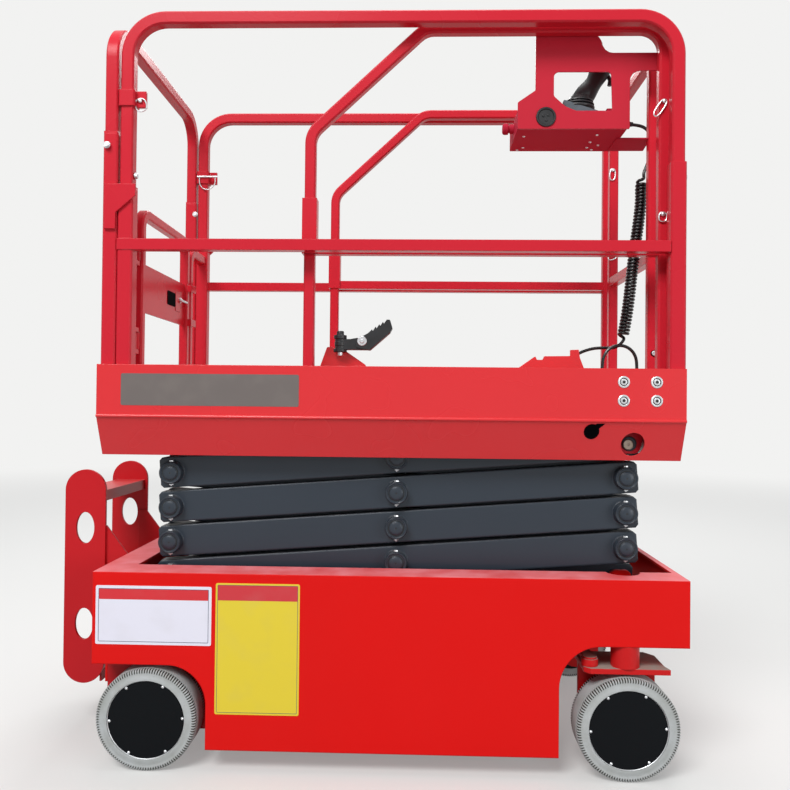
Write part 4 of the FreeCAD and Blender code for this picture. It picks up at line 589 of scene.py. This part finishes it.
def tyre_shape(x, side):
    """A closed profile, (place across, radius), turned about the axle. The radius is less by the
    groove's depth where a wave of one period a tooth is low and the point is near an edge."""
    edge = 5.5
    turn = np.linspace(0, np.pi / 2, 6)
    inner = [(TYRE_IN, TYRE_BORE), (TYRE_IN, 96.0), (TYRE_IN + 0.8, 98.0), (TYRE_IN + 0.8, 105.0)]
    shoulder_in = [(TYRE_IN + edge - edge * math.cos(a), TYRE_R - edge + edge * math.sin(a)) for a in turn]
    tread = [(a, TYRE_R) for a in (309, 312, 315.0, 316.4, 340, 363.6, 365, 368, 371)]
    shoulder_out = [(TYRE_OUT - edge + edge * math.sin(a), TYRE_R - edge + edge * math.cos(a)) for a in turn]
    outer = [(TYRE_OUT - 0.8, 105.0), (TYRE_OUT - 0.8, 98.0), (TYRE_OUT, 96.0), (TYRE_OUT, TYRE_BORE)]
    profile = np.array(inner + shoulder_in + tread + shoulder_out + outer)
    across, radius = profile[:, 0:1], profile[:, 1:2]
    angle = np.linspace(0, 2 * np.pi, TREAD_COLUMNS, endpoint=False)[None]
    wave = smooth_step(0.5 + 1.6 * np.cos(angle * TEETH))
    from_edge = np.minimum(across - TYRE_IN, TYRE_OUT - across)
    reach = smooth_step((GROOVE_LONG + 1 - from_edge) / 1.5) * smooth_step((radius - 107.0) / 3.0)
    radius = radius - GROOVE_DEEP * wave * reach
    verts = np.stack([(x + ORIGIN_SHIFT + radius * np.cos(angle)) / 1000,
                      side * (across + 0 * radius) / 1000,
                      (TYRE_R + radius * np.sin(angle)) / 1000], -1).reshape(-1, 3)
    return (verts, grid_faces(len(profile), TREAD_COLUMNS, closed_rows=True)), wave * reach


for end, x in WHEELS:
    for name, side in SIDES:
        shape, groove = tyre_shape(x, side)
        tyre = add_mesh("%s_tread_%s" % (end, name), shape, 40.0, groove)
        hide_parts("%s_tyre_%s" % (end, name))
        fitted(tyre, "%s_wheel_%s_body" % (end, name), tyre_finish)


# Fasteners

DOME = ((0.0, 3.4), (1.6, 3.1), (3.1, 2.3), (4.3, 1.1), (5.0, 0.0), (5.0, -1.0), (0.0, -1.0))
HEX = ((0.0, 5.6), (5.4, 5.6), (6.4, 5.0), (6.6, 4.4), (6.6, 0.0), (0.0, 0.0))
WASHER = ((0.0, 1.6), (10.4, 1.6), (11.0, 1.0), (11.0, -0.2), (0.0, -0.2))
CAP_R, CAP_FACE = 89.0, 376.0
SCREW_RING = 84.0


def fastener(profile, scale, segments, axis, phase=0.0):
    """Head of a screw, nut or washer about the origin: its profile in millimetres, turned."""
    return turned(np.asarray(profile) * scale / 1000, segments, (0, 0, 0), axis, phase)


for end, x in WHEELS:
    for name, side in SIDES:
        angle = np.radians(np.arange(6) * 60 + 3)
        places = [mm(x + SCREW_RING * math.cos(a), side * CAP_FACE, TYRE_R + SCREW_RING * math.sin(a)) for a in angle]
        screws = repeated(fastener(DOME, 0.75, 14, (0, side, 0)), places)
        rim = turned(np.array(((CAP_R - 1.6, 0.0), (CAP_R - 0.4, 1.4), (CAP_R + 0.2, 1.0), (CAP_R + 0.2, -0.5),
                               (CAP_R - 1.6, -0.5), (CAP_R - 1.6, 0.0))) / 1000, 120,
                     mm(x, side * CAP_FACE, TYRE_R), (0, side, 0))
        piece = add_mesh("%s_cap_screws_%s" % (end, name), joined([screws, rim]))
        fitted(piece, "%s_wheel_%s_body" % (end, name), zinc)

# Platform bolts: a flanged button head with a hexagon socket, on a zinc washer; the socket and the gap round the head
# are black pieces of painted shade

BIG_WASHER = ((0.0, 0.6), (9.0, 0.6), (9.4, 2.0), (12.0, 2.2), (13.4, 1.5), (13.9, 0.4), (13.9, -0.2), (0.0, -0.2))
BUTTON = ((0.0, 3.0), (4.0, 3.0), (6.4, 2.7), (7.4, 1.8), (7.6, 0.0), (0.0, 0.0))
SOCKET = ((0.0, 3.2), (3.9, 3.2), (3.9, 2.2), (0.0, 2.2))
GAP = ((7.7, 0.5), (7.7, 0.9), (9.0, 0.9), (9.0, 0.5), (7.7, 0.5))
for name, side in SIDES:
    places = np.array([mm(px, side * 350.0, pz) for px in (531.0, 605.5) for pz in (893.0, 850.5)])
    bolts = joined([repeated(fastener(part, 1.0, 40, (0, side, 0)), places) for part in (BIG_WASHER, BUTTON)])
    fitted(add_mesh("platform_bolts_" + name, bolts, 25.0), "platform", zinc)
    # The hexagon socket and the ring in the gap between head and washer: black, painted shade
    dark = joined([repeated(fastener(SOCKET, 1.0, 6, (0, side, 0), 0.3), places),
                   repeated(fastener(GAP, 1.0, 40, (0, side, 0)), places)])
    fitted(add_mesh("platform_sockets_" + name, dark, 20.0), "platform", box_plastic)


# Pivot ends: the shaft's end, set flush in its boss, with a black ring of painted shade for the gap round it and a
# black dot of painted shade in its centre hole, and the locking bolt through the boss

PIN_Z0, RISE = 417.5, 83.2
PIN_ROWS = ((-530.0, 0.0), (14.0, 0.5), (558.0, 1.0))        # from the chassis centre, share of a level's rise
BOSS_FACE, BOSS_R, LOCK_Y = 280.0, 27.0, 269.0
SHAFT_END = ((0.0, 2.6), (1.6, 2.6), (2.2, 3.1), (15.0, 3.1), (16.4, 2.4), (16.9, 0.6), (16.9, 0.2), (0.0, 0.2))
GAP_RING = ((17.1, 0.05), (17.1, 0.25), (19.2, 0.25), (19.4, 0.05), (17.1, 0.05))
LIP_RING = ((21.5, -0.2), (21.5, 0.9), (22.4, 1.5), (25.2, 1.5), (26.9, 0.0), (26.9, -0.2), (21.5, -0.2))

for level in range(4):
    body = "outer_%d" % (level + 1)
    dark, painted, plated = [], [], []
    for px, share in PIN_ROWS:
        pz = PIN_Z0 + RISE * (level + share)
        for name, side in SIDES:
            at = mm(px, side * BOSS_FACE, pz)
            if not (level == 0 and share == 0.0) and not (level == 3 and share == 1.0):
                painted.append(turned(np.array(SHAFT_END) / 1000, 40, at, (0, side, 0)))
                # Black ring in the gap round the shaft's end and black dot in its centre hole: painted shade
                dark.append(turned(np.array(GAP_RING) / 1000, 40, at, (0, side, 0)))
                dark.append(turned(np.array(((0.0, 3.3), (2.0, 3.2), (2.2, 2.5), (0.0, 2.5))) / 1000, 12, at, (0, side, 0)))
            painted.append(turned(np.array(LIP_RING) / 1000, 48, at, (0, side, 0)))
            over, under = mm(px, side * LOCK_Y, pz + BOSS_R - 1.5), mm(px, side * LOCK_Y, pz - BOSS_R + 1.5)
            head = fastener(HEX, 0.85, 6, (0, 0, 1), 0.4)
            nut = fastener(((0.0, 7.6), (2.4, 7.6), (2.6, 5.4), (5.2, 5.4), (6.2, 4.6), (6.2, 0.0), (0.0, 0.0)), 0.9, 6,
                           (0, 0, -1), 0.2)
            plated += [repeated(head, [over]), repeated(nut, [under])]
    fitted(add_mesh("pin_ends_%d" % (level + 1), joined(painted)), body, arm_coating)
    fitted(add_mesh("pin_gaps_%d" % (level + 1), joined(dark)), body, box_plastic)
    fitted(add_mesh("locking_bolts_%d" % (level + 1), joined(plated), 20.0), body, zinc)


# Signs, blank: a grey plate on the platform's side, a white and a yellow sign on the chassis' skirt

grey_plate = printed_vinyl("grey_film", "#6a625f", 0.34)
white_film = printed_vinyl("white_film", "#e6e5f2", 0.42)
yellow_film = printed_vinyl("yellow_film", "#e2cb35", 0.42)
header_film = printed_vinyl("red_header_film", "#d22a33", 0.40)
yellow_header_film = printed_vinyl("brown_red_header_film", "#c9323b", 0.40)
line_film = printed_vinyl("dark_line_film", "#3c4260", 0.40)
SIGNS = (    # name, x0, x1, z0, z1 in metres, y of the sheet, corner, film, body
    ("platform_plate", -0.5445, -0.1300, 0.8290, 0.9030, 0.3500, 0.004, grey_plate, "platform"),
    ("white_sign", -0.5870, -0.3205, 0.2836, 0.4174, 0.3720, 0.004, white_film, "chassis"),
    ("white_sign_header", -0.5795, -0.3280, 0.3860, 0.4098, 0.3722, 0.001, header_film, "chassis"),
    ("yellow_sign", -0.3110, -0.1190, 0.1296, 0.4266, 0.3720, 0.004, yellow_film, "chassis"),
    ("yellow_sign_header", -0.3065, -0.1235, 0.3875, 0.4222, 0.3722, 0.001, yellow_header_film, "chassis"))
for name, x0, x1, z0, z1, y, corner, film, body in SIGNS:
    sheet = slab(rounded(x0, x1, z0, z1, corner), -y + 0.0002, -y - 0.0005)
    fitted(add_mesh(name, sheet), body, film)
SIGN_LINES = (("white_sign_line", -0.5805, -0.3270, 0.2898, 0.4108, 0.0011),
              ("yellow_sign_line", -0.3068, -0.1232, 0.1338, 0.4226, 0.0009))
for name, x0, x1, z0, z1, line in SIGN_LINES:
    outer = rounded(x0, x1, z0, z1, 0.002)
    inner = rounded(x0 + line, x1 - line, z0 + line, z1 - line, 0.001)
    fitted(add_mesh(name, band(outer, inner, -0.3721, -0.37275)), "chassis", line_film)


# Control box: round socket in the guard, screws under the box, tapered glands on the cable

NUT_BOLT = ((0.0, 7.0), (4.0, 6.8), (5.4, 5.6), (5.6, 3.0), (8.0, 2.8), (8.0, 0.0), (0.0, 0.0))
SOCKET_PLACE = (363.5, -265.7, 1529.6)
SOCKET_FACE = ((0.0, 0.9), (17.6, 0.9), (18.6, 2.0), (19.2, 3.4), (22.4, 3.4), (23.6, 2.4), (23.8, -0.4), (0.0, -0.4))
CONTACTS = ((-6.5, 3.0), (5.5, 4.5), (0.5, -7.5))
socket = turned(np.array(SOCKET_FACE) / 1000, 56, mm(*SOCKET_PLACE), (0, -1, 0))
contacts = [turned(np.array(((0.0, 2.8), (2.6, 2.8), (3.4, 2.2), (3.4, 0.4), (0.0, 0.4))) / 1000, 16,
                   mm(SOCKET_PLACE[0] + dx, SOCKET_PLACE[1], SOCKET_PLACE[2] + dz), (0, -1, 0)) for dx, dz in CONTACTS]
fitted(add_mesh("guard_socket", joined([socket] + contacts), 25.0), "extension", box_plastic)

# The control box with its guard: one sheet with a window and a cut for the arm, in front of a shallow box

BOX_UNDER, BOX_TOP = 1501.0, 1546.0
GUARD = ((296, 1501), (296, 1565), (338, 1594), (338, 1730), (496, 1730), (496, 1684), (650, 1684), (650, 1641),
         (563, 1641), (563, 1501))
GUARD_ROUND = (2, 4, 4, 2, 26, 26, 2, 2, 24, 3)
WINDOW = ((382, 1638), (518, 1638), (521, 1543), (440, 1543), (410, 1555), (382, 1580))
WINDOW_ROUND = (12, 9, 7, 8, 10, 10)
BOX_PLAN = ((296, -262.7), (557, -262.7), (557, -98.7), (296, -98.7))
KNOB = ((0.0, 30.0), (10.0, 29.5), (13.0, 27.5), (14.0, 24.0), (13.6, 16.0), (9.5, 14.0), (9.0, 12.0), (11.5, 11.0),
        (12.0, 4.0), (12.0, -2.0), (0.0, -2.0))
guard = plate([filleted(GUARD, GUARD_ROUND), filleted(WINDOW, WINDOW_ROUND)[::-1]], -265.7, -262.7)
case = plate([filleted(BOX_PLAN, (3, 3, 3, 3))], BOX_UNDER, BOX_TOP, (0, 1, 2))
shelf = plate([filleted(((548, -204), (630, -204), (638, -110), (548, -110)), (0, 3, 3, 0))], 1498.0, BOX_UNDER, (0, 1, 2))
knob = turned(np.array(KNOB) / 1000, 40, mm(298.0, -180.7, 1530.0), (-1, 0, 0))
nut = turned(np.array(((0.0, 14.0), (9.0, 14.0), (10.5, 12.0), (10.5, -1.0), (0.0, -1.0))) / 1000, 32,
             mm(557.0, -156.0, 1551.0), (1, 0, 0))
raised = plate([filleted(((524, -200), (557, -200), (557, -112), (524, -112)), (3, 3, 3, 3))], BOX_TOP, 1575.0, (0, 1, 2))
box = add_mesh("control_box_guard", guard, 30.0)
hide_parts("control_box")
fitted(box, "extension", plate_enamel)
# Case, raised top, shelf, knob and nut in the darker copy of the red: painted shade
fitted(add_mesh("control_box_case", joined([case, raised, shelf, knob, nut]), 30.0), "extension", shaded_box_enamel)

# Joystick: a wedge of grey plastic, a bellows of three folds square to its slope, and a leaning grip
STICK_Y = -192.7
WEDGE = ((407, 1586), (497, 1557), (497, 1545), (431, 1545))
SLOPE = np.array((0.323, 0.0, 0.946))
BELLOWS = ((0.0, -1.0), (44.0, -1.0), (45.0, 1.5), (44.0, 4.5), (37.0, 6.0), (36.5, 7.5), (41.0, 10.0), (40.0, 13.0),
           (33.0, 14.5), (32.5, 16.0), (36.0, 18.5), (35.0, 21.5), (28.0, 23.5), (26.0, 34.0), (0.0, 35.0))
wedge = plate([filleted(WEDGE, (3, 3, 2, 2))], STICK_Y - 40.0, STICK_Y + 40.0)
fitted(add_mesh("joystick_base", wedge, 30.0), "extension", grey_abs)
bellows = turned(np.array(BELLOWS) / 1000, 56, mm(449.0, STICK_Y, 1573.0), SLOPE)
share = np.linspace(0.0, 1.0, 22)
grip_line = np.stack([457 + 58 * share + 6 * np.sin(np.pi * share), 0 * share + STICK_Y, 1594 + 96 * share], -1)
grip_line = (grip_line + (ORIGIN_SHIFT, 0, 0)) / 1000
grip_round = (23.5 + 2.4 * np.sin(3.1 * np.pi * share)) * np.sqrt(np.clip(1 - ((share - 0.86) / 0.14).clip(0) ** 2, 0.02, 1)) / 1000
grip = swept(grip_line, (1, 0, 0), grip_round, 28)
grip = (grip[0] * (1, 0.8, 1) + (0, 0.2 * STICK_Y / 1000, 0), grip[1])
trigger = swept([mm(527.0, STICK_Y, 1659.0), mm(533.0, STICK_Y, 1648.0), mm(531.0, STICK_Y, 1634.0)], (0, 1, 0), 0.0052, 14)
stick = add_mesh("joystick_grip", joined([bellows, grip, trigger]), 50.0)
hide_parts("joystick")
fitted(stick, "extension", box_plastic)

# Pedal: a pivot block, an arm and a serrated treadle, on a gusset
PEDAL_Y = (-232.0, -206.3)
BLOCK = ((0.0, 62.0), (8.0, 62.0), (9.0, 60.0), (9.0, 52.0), (15.0, 52.0), (16.0, 50.5), (16.0, 43.0), (13.0, 42.0),
         (13.0, 36.0), (14.0, 35.0), (14.0, 26.0), (13.0, 25.0), (13.0, 19.0), (16.5, 18.0), (16.5, 11.0), (15.5, 10.0), (0.0, 10.0))
ARM = ((-128, 996), (-104, 996), (-88, 999), (-60, 997), (-52, 984), (-56, 970), (-128, 970))
TREADLE = ((-92, 975), (-56, 969), (-7, 1012), (-1, 1024), (-7, 1044), (-15, 1044), (-22, 1034), (-24, 1039), (-31, 1028),
           (-33, 1033), (-40, 1022), (-42, 1027), (-49, 1016), (-51, 1020), (-60, 1011), (-88, 995))
block = turned(np.array(BLOCK) / 1000, 28, mm(-129.5, -222.0, 954.0), (0, 0, 1))
arm = plate([filleted(ARM, (2, 2, 3, 4, 4, 3, 2))], *PEDAL_Y)
treadle = plate([filleted(TREADLE, (6, 5, 4, 4, 3, 1) + (0.6,) * 8 + (2, 4))], PEDAL_Y[0] - 3.0, PEDAL_Y[1])
pedal = add_mesh("foot_pedal", joined([block, arm, treadle]), 30.0)
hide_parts("pedal")
fitted(pedal, "extension", box_plastic)
PIVOT_FACE = ((0.0, 5.6), (4.6, 5.6), (5.4, 4.8), (5.4, 1.8), (11.0, 1.8), (11.8, 1.0), (11.8, -0.2), (0.0, -0.2))
pivot = joined([turned(np.array(PIVOT_FACE) / 1000, 32, mm(-75.0, PEDAL_Y[0] - 3.0, 991.0), (0, -1, 0)),
                turned(np.array(((0.0, 10.0), (5.0, 10.0), (6.0, 8.5), (6.0, -1.0), (0.0, -1.0))) / 1000, 24,
                       mm(-129.5, -222.0, 964.5), (0, 0, -1))])
fitted(add_mesh("pedal_bolts", pivot, 25.0), "extension", zinc)
GUSSET = ((-186, 815), (-181, 930), (-164, 978), (-152, 978), (-114, 966), (-67, 934), (-60, 815))
gusset = joined([plate([filleted(GUSSET, (0, 4, 4, 4, 6, 6, 0))], -206.0, -201.0),
                 plate([filleted(((-186, -206), (-60, -206), (-60, -172), (-186, -172)), (0, 0, 5, 5))], 814.4, 817.4, (0, 1, 2))])
piece = add_mesh("pedal_gusset", gusset, 30.0)
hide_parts("pedal_bracket")
fitted(piece, "extension", platform_enamel)

# Cable bracket: a sheet with a sloped end, a notch and a raised tab
CLIP = ((310, 815), (312, 931), (353, 960), (357, 951), (371, 951), (375, 960), (439, 961), (439, 976), (460, 977),
        (463, 957), (473, 931), (478, 815))
clip = joined([plate([filleted(CLIP, (0, 3, 2, 3, 3, 1, 1, 1, 1, 2, 2, 0))], -195.0, -190.0),
               plate([filleted(((310, -195), (478, -195), (478, -160), (310, -160)), (0, 0, 5, 5))], 814.4, 817.4, (0, 1, 2))])
piece = add_mesh("cable_bracket_sheet", clip, 30.0)
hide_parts("cable_bracket")
fitted(piece, "extension", platform_enamel)

# Platform side: the folded lip over the sloping lower sheet, and the keyhole through that sheet as a matt black sheet
# of painted shade
LIP = ((-350.0, 808.5), (-352.4, 806.8), (-353.2, 804.5), (-352.8, 801.8), (-350.8, 800.6), (-344.0, 799.8), (-344.0, 804.0))
FOLD_Y, FOLD_Z, LEAN = 350.3, 803.0, 0.44       # the lower sheet's top, and how far it leans in a millimetre down
for name, side in SIDES:
    lip = plate([filleted(LIP, (1, 1, 1, 1, 1, 0, 0))], -683.0, 673.0, (1, 2, 0))
    verts = (lip[0] - (ORIGIN_SHIFT / 1000, 0, 0)) * (1, -side, 1)
    verts = verts[:, [0, 1, 2]] + (ORIGIN_SHIFT / 1000, 0, 0)
    fitted(add_mesh("platform_lip_" + name, (verts, lip[1]), 50.0), "platform", platform_enamel)
# The keyhole: a matt black sheet on the sloping sheet, painted shade in the hole
angle = np.radians(np.linspace(67, 383, 30))
keyhole = np.concatenate([np.stack([461 + 17.5 * np.cos(angle), 779 + 17.5 * np.sin(angle)], -1), ((490, 797.5), (472, 797.5))])
verts, faces = plate([keyhole], 0.0, 0.5)
verts[:, 1] = -verts[:, 1] - (FOLD_Y - LEAN * (FOLD_Z - verts[:, 2] * 1000)) / 1000
fitted(add_mesh("platform_keyhole", (verts, faces)), "platform", painted_shade_black)
SHAFT_FACE = ((0.0, 1.0), (2.2, 1.0), (3.0, 2.6), (10.8, 2.6), (12.6, 1.4), (12.8, -0.2), (0.0, -0.2))
shaft = turned(np.array(SHAFT_FACE) / 1000, 36, mm(555.0, -298.0, 748.5), (0, -1, 0))
fitted(add_mesh("platform_shaft_end", shaft, 25.0), "outer_4", bronze)

# Gate: the hand slot as a matt black sheet of painted shade, the plate that the latch bolt goes through, and that bolt
# The hand slot: a matt black sheet, painted shade in the opening
slot_sheet = plate([filleted(((-35, 1104), (34, 1104), (34, 1142), (-35, 1142)), (5, 5, 5, 5))], -622.4, -620.6, (1, 2, 0))
fitted(add_mesh("gate_hand_slot", slot_sheet), "gate", painted_shade_black)
latch_sheet = plate([filleted(((35.5, 1094), (80, 1094), (80, 1146), (35.5, 1146)), (3, 3, 3, 3))], -622.4, -620.9, (1, 2, 0))
fitted(add_mesh("gate_latch_plate", latch_sheet), "gate", shaded_rail_enamel)
latch = joined([turned(np.array(NUT_BOLT) / 1000, 24, mm(-620.9, 74.0, 1128.0), (1, 0, 0)),
                swept([mm(-616.0, 78.0, 1128.0), mm(-616.0, 100.0, 1128.0), mm(-616.0, 124.0, 1128.0)], (0, 0, 1), 0.0036, 12)])
fitted(add_mesh("gate_latch_bolt", latch, 25.0), "gate", zinc)

BOX_SCREWS = ((318.0, -212.0), (495.0, -223.0), (314.0, -109.0), (327.0, -128.0), (489.0, -171.0), (514.0, -148.0),
              (490.0, -129.0), (505.0, -112.0))
screws = repeated(fastener(DOME, 0.72, 16, (0, 0, -1)), [mm(x, y, BOX_UNDER) for x, y in BOX_SCREWS])
fitted(add_mesh("box_screws", screws), "extension", zinc)

GLAND = ((0.0, 0.0), (10.5, 0.0), (10.8, 1.0), (10.8, 6.5), (10.0, 7.4), (8.6, 8.0), (8.4, 10.2), (7.4, 10.5), (7.2, 12.0),
         (8.0, 12.3), (7.8, 14.5), (6.8, 14.8), (6.7, 16.3), (7.3, 16.6), (7.1, 18.8), (6.1, 19.1), (6.0, 20.6),
         (6.6, 20.9), (6.3, 23.1), (5.5, 23.4), (5.4, 24.9), (5.9, 25.2), (5.5, 28.0), (4.6, 28.6), (0.0, 28.6))
glands = joined([turned(np.array(GLAND) / 1000, 32, mm(*UPPER_ROUTE[0]), (1, 0, 0)),
                 turned(np.array(GLAND) / 1000, 32, mm(*LOWER_ROUTE[-1]), (0, 0, 1))])
fitted(add_mesh("cable_glands", glands, 40.0), "extension", box_plastic)


# Rail hardware: pins with rings where the folding rails lock, and zinc bolts through the posts

PIN_HEAD = ((0.0, 5.2), (2.8, 5.0), (4.4, 4.0), (5.0, 2.6), (5.0, -4.0), (0.0, -4.0))
NUT = ((0.0, 5.0), (5.6, 5.0), (6.6, 4.2), (6.6, 0.0), (8.6, 0.0), (8.6, -1.4), (0.0, -1.4))
RING_R, WIRE_R = 13.0, 1.7


def pin_with_ring(at, out, hang, long, wide):
    """A pin's head on the face at a place, out of which it points, and a wire loop that hangs from it."""
    out = np.asarray(out, float)
    head = fastener(PIN_HEAD, 1.0, 20, out)
    hang = np.asarray(hang, float) / np.linalg.norm(hang)
    across = np.cross(out, hang)
    centre = np.asarray(mm(*at)) + (out * 3.0 + hang * (long / 2 - 4.0)) / 1000
    return joined([repeated(head, [mm(*at)]), hoop(link_line(centre, hang, across, long, wide), WIRE_R / 1000)])


RING_PINS = (    # name, place, direction out of the face, hang, long, wide, body
    ("clamp_ring_near", (-597.0, -328.5, 1545.0), (0, -1, 0), (0.25, 0.0, -1.0), 30.0, 26.0, "platform"),
    ("latch_ring_high", (636.0, -292.6, 1556.0), (0, -1, 0), (-0.55, 0.0, -0.85), 46.0, 15.0, "extension"),
    ("latch_ring_far_high", (632.0, 184.0, 1536.0), (0, -1, 0), (-0.05, 0.0, -1.0), 34.0, 16.0, "extension"),
    ("latch_ring_far_low", (641.0, 184.0, 1282.0), (0, -1, 0), (-0.9, 0.0, -0.4), 26.0, 14.0, "extension"),
    ("latch_ring_low", (634.0, -292.6, 1290.0), (0, -1, 0), (-0.1, 0.0, -1.0), 22.0, 18.0, "extension"))
for name, at, out, hang, long, wide, body in RING_PINS:
    fitted(add_mesh(name, pin_with_ring(at, out, hang, long, wide)), body, zinc)

# The far clamp's pin lies across the posts, with a half ring under it
turn = np.linspace(0, np.pi, 14)
half_ring = np.array([mm(-609.0 + 25.0 * math.cos(a), 302.0, 1536.0 - 27.0 * math.sin(a)) for a in turn])
ends = [mm(-584.0, 302.0, 1550.0)], [mm(-634.0, 302.0, 1550.0)]
ring = swept(np.concatenate([ends[0], half_ring, ends[1]]), (0, 1, 0), WIRE_R / 1000, 8)
bar = swept([mm(-641.0, 302.0, 1550.0), mm(-610.0, 302.0, 1550.0), mm(-577.0, 302.0, 1550.0)], (0, 1, 0), 0.0032, 14)
fitted(add_mesh("clamp_ring_far", joined([ring, bar])), "platform", zinc)

ZINC_BOLTS = (    # place, direction, body
    ((-668.0, -347.3, 1436.0), (0, -1, 0), "platform"), ((-607.0, -324.0, 1369.0), (1, 0, 0), "platform"),
    ((-648.0, 306.8, 1432.0), (0, -1, 0), "platform"), ((674.0, -324.0, 1368.0), (1, 0, 0), "platform"),
    ((640.0, -210.0, 968.0), (0, -1, 0), "extension"))
for body in ("platform", "extension"):
    bolts = [repeated(fastener(NUT, 0.95, 24, out), [mm(*at)]) for at, out, rides in ZINC_BOLTS if rides == body]
    fitted(add_mesh("post_bolts_" + body, joined(bolts), 25.0), body, zinc)


# Floor, backdrop and light

WALL = "#f2f2f1"


def floor_finish():
    """Pale sealed concrete: to the camera its own pale grey with the object's shadow, going over into the
    colour of the wall between 3 and 9 metres out, and a dull grey for the light that it throws back."""
    material, tree, shader = new_material("pale_floor", Roughness=0.7, Specular_IOR_Level=0.2)
    rays = add_node(tree, "LightPath")
    seen = add_node(tree, "Math", {"operation": "MAXIMUM"}, {0: rays.outputs["Is Camera Ray"],
                                                             1: rays.outputs["Is Glossy Ray"]})
    shade = add_node(tree, "Mix", {"data_type": "RGBA"}, {"Factor": seen.outputs[0], MIX_A: linear("#8f8f8d"),
                                                         MIX_B: linear("#d9d9d7")})
    tree.links.new(shade.outputs[MIX_OUT], shader.inputs["Base Color"])
    place = add_node(tree, "TexCoord").outputs["Object"]
    out = add_node(tree, "VectorMath", {"operation": "LENGTH"}, {0: place})
    far = add_node(tree, "MapRange", {"interpolation_type": "SMOOTHSTEP"},
                   {"Value": out.outputs["Value"], "From Min": 3.0, "From Max": 9.0, "To Min": 0.30, "To Max": 1.0})
    part = add_node(tree, "Math", {"operation": "MULTIPLY"}, {0: seen.outputs[0], 1: far.outputs[0]})
    glow = add_node(tree, "Emission", None, {"Color": linear(WALL), "Strength": 1.0})
    both = add_node(tree, "MixShader", None, {0: part.outputs[0], 1: shader.outputs[0], 2: glow.outputs[0]})
    end = [n for n in tree.nodes if n.bl_idname == "ShaderNodeOutputMaterial"][0]
    tree.links.new(both.outputs[0], end.inputs["Surface"])
    return material


FLOOR_HALF = 14.0
corners = np.array(((-1, -1, 0), (1, -1, 0), (1, 1, 0), (-1, 1, 0))) * (FLOOR_HALF, FLOOR_HALF, 1)
floor = add_mesh("floor", (corners, [[0, 1, 2, 3]]))
floor.data.materials.append(floor_finish())

world = bpy.data.worlds.new("studio")
bpy.context.scene.world = world
world.use_nodes = True
sky = world.node_tree
sky.nodes.clear()
rays = add_node(sky, "LightPath")
direct = add_node(sky, "Math", {"operation": "MAXIMUM"}, {0: rays.outputs["Is Camera Ray"],
                                                          1: rays.outputs["Is Transmission Ray"]})
seen = add_node(sky, "Math", {"operation": "MAXIMUM"}, {0: direct.outputs[0], 1: rays.outputs["Is Glossy Ray"]})
light = add_node(sky, "Background", None, {"Color": linear("#eef1f6"), "Strength": 0.34})
wall = add_node(sky, "Background", None, {"Color": linear(WALL), "Strength": 1.0})
both = add_node(sky, "MixShader", None, {0: seen.outputs[0], 1: light.outputs[0], 2: wall.outputs[0]})
add_node(sky, "OutputWorld", None, {"Surface": both.outputs[0]})

LAMPS = (    # name, place, aim, width, height, watts
    ("key_light", (-2.6, -6.0, 7.0), (0.0, -0.2, 0.8), 4.2, 3.2, 700.0),
    ("fill_light", (5.4, -5.0, 1.6), (0.1, 0.0, 0.8), 3.0, 2.6, 130.0),
    ("back_light", (0.3, 5.0, 5.0), (0.0, 0.0, 1.0), 4.0, 2.0, 190.0),
    ("top_light", (0.4, 0.4, 6.4), (0.0, 0.0, 0.0), 3.4, 2.6, 110.0))
for name, place, aim, width, height, watts in LAMPS:
    data = bpy.data.lights.new(name, "AREA")
    data.shape = "RECTANGLE"
    data.size, data.size_y = width, height
    data.energy = watts
    lamp = bpy.data.objects.new(name, data)
    lamp.location = place
    lamp.rotation_euler = (Vector(aim) - Vector(place)).to_track_quat("-Z", "Y").to_euler()
    bpy.context.scene.collection.objects.link(lamp)

bpy.context.scene.view_settings.view_transform = "Standard"
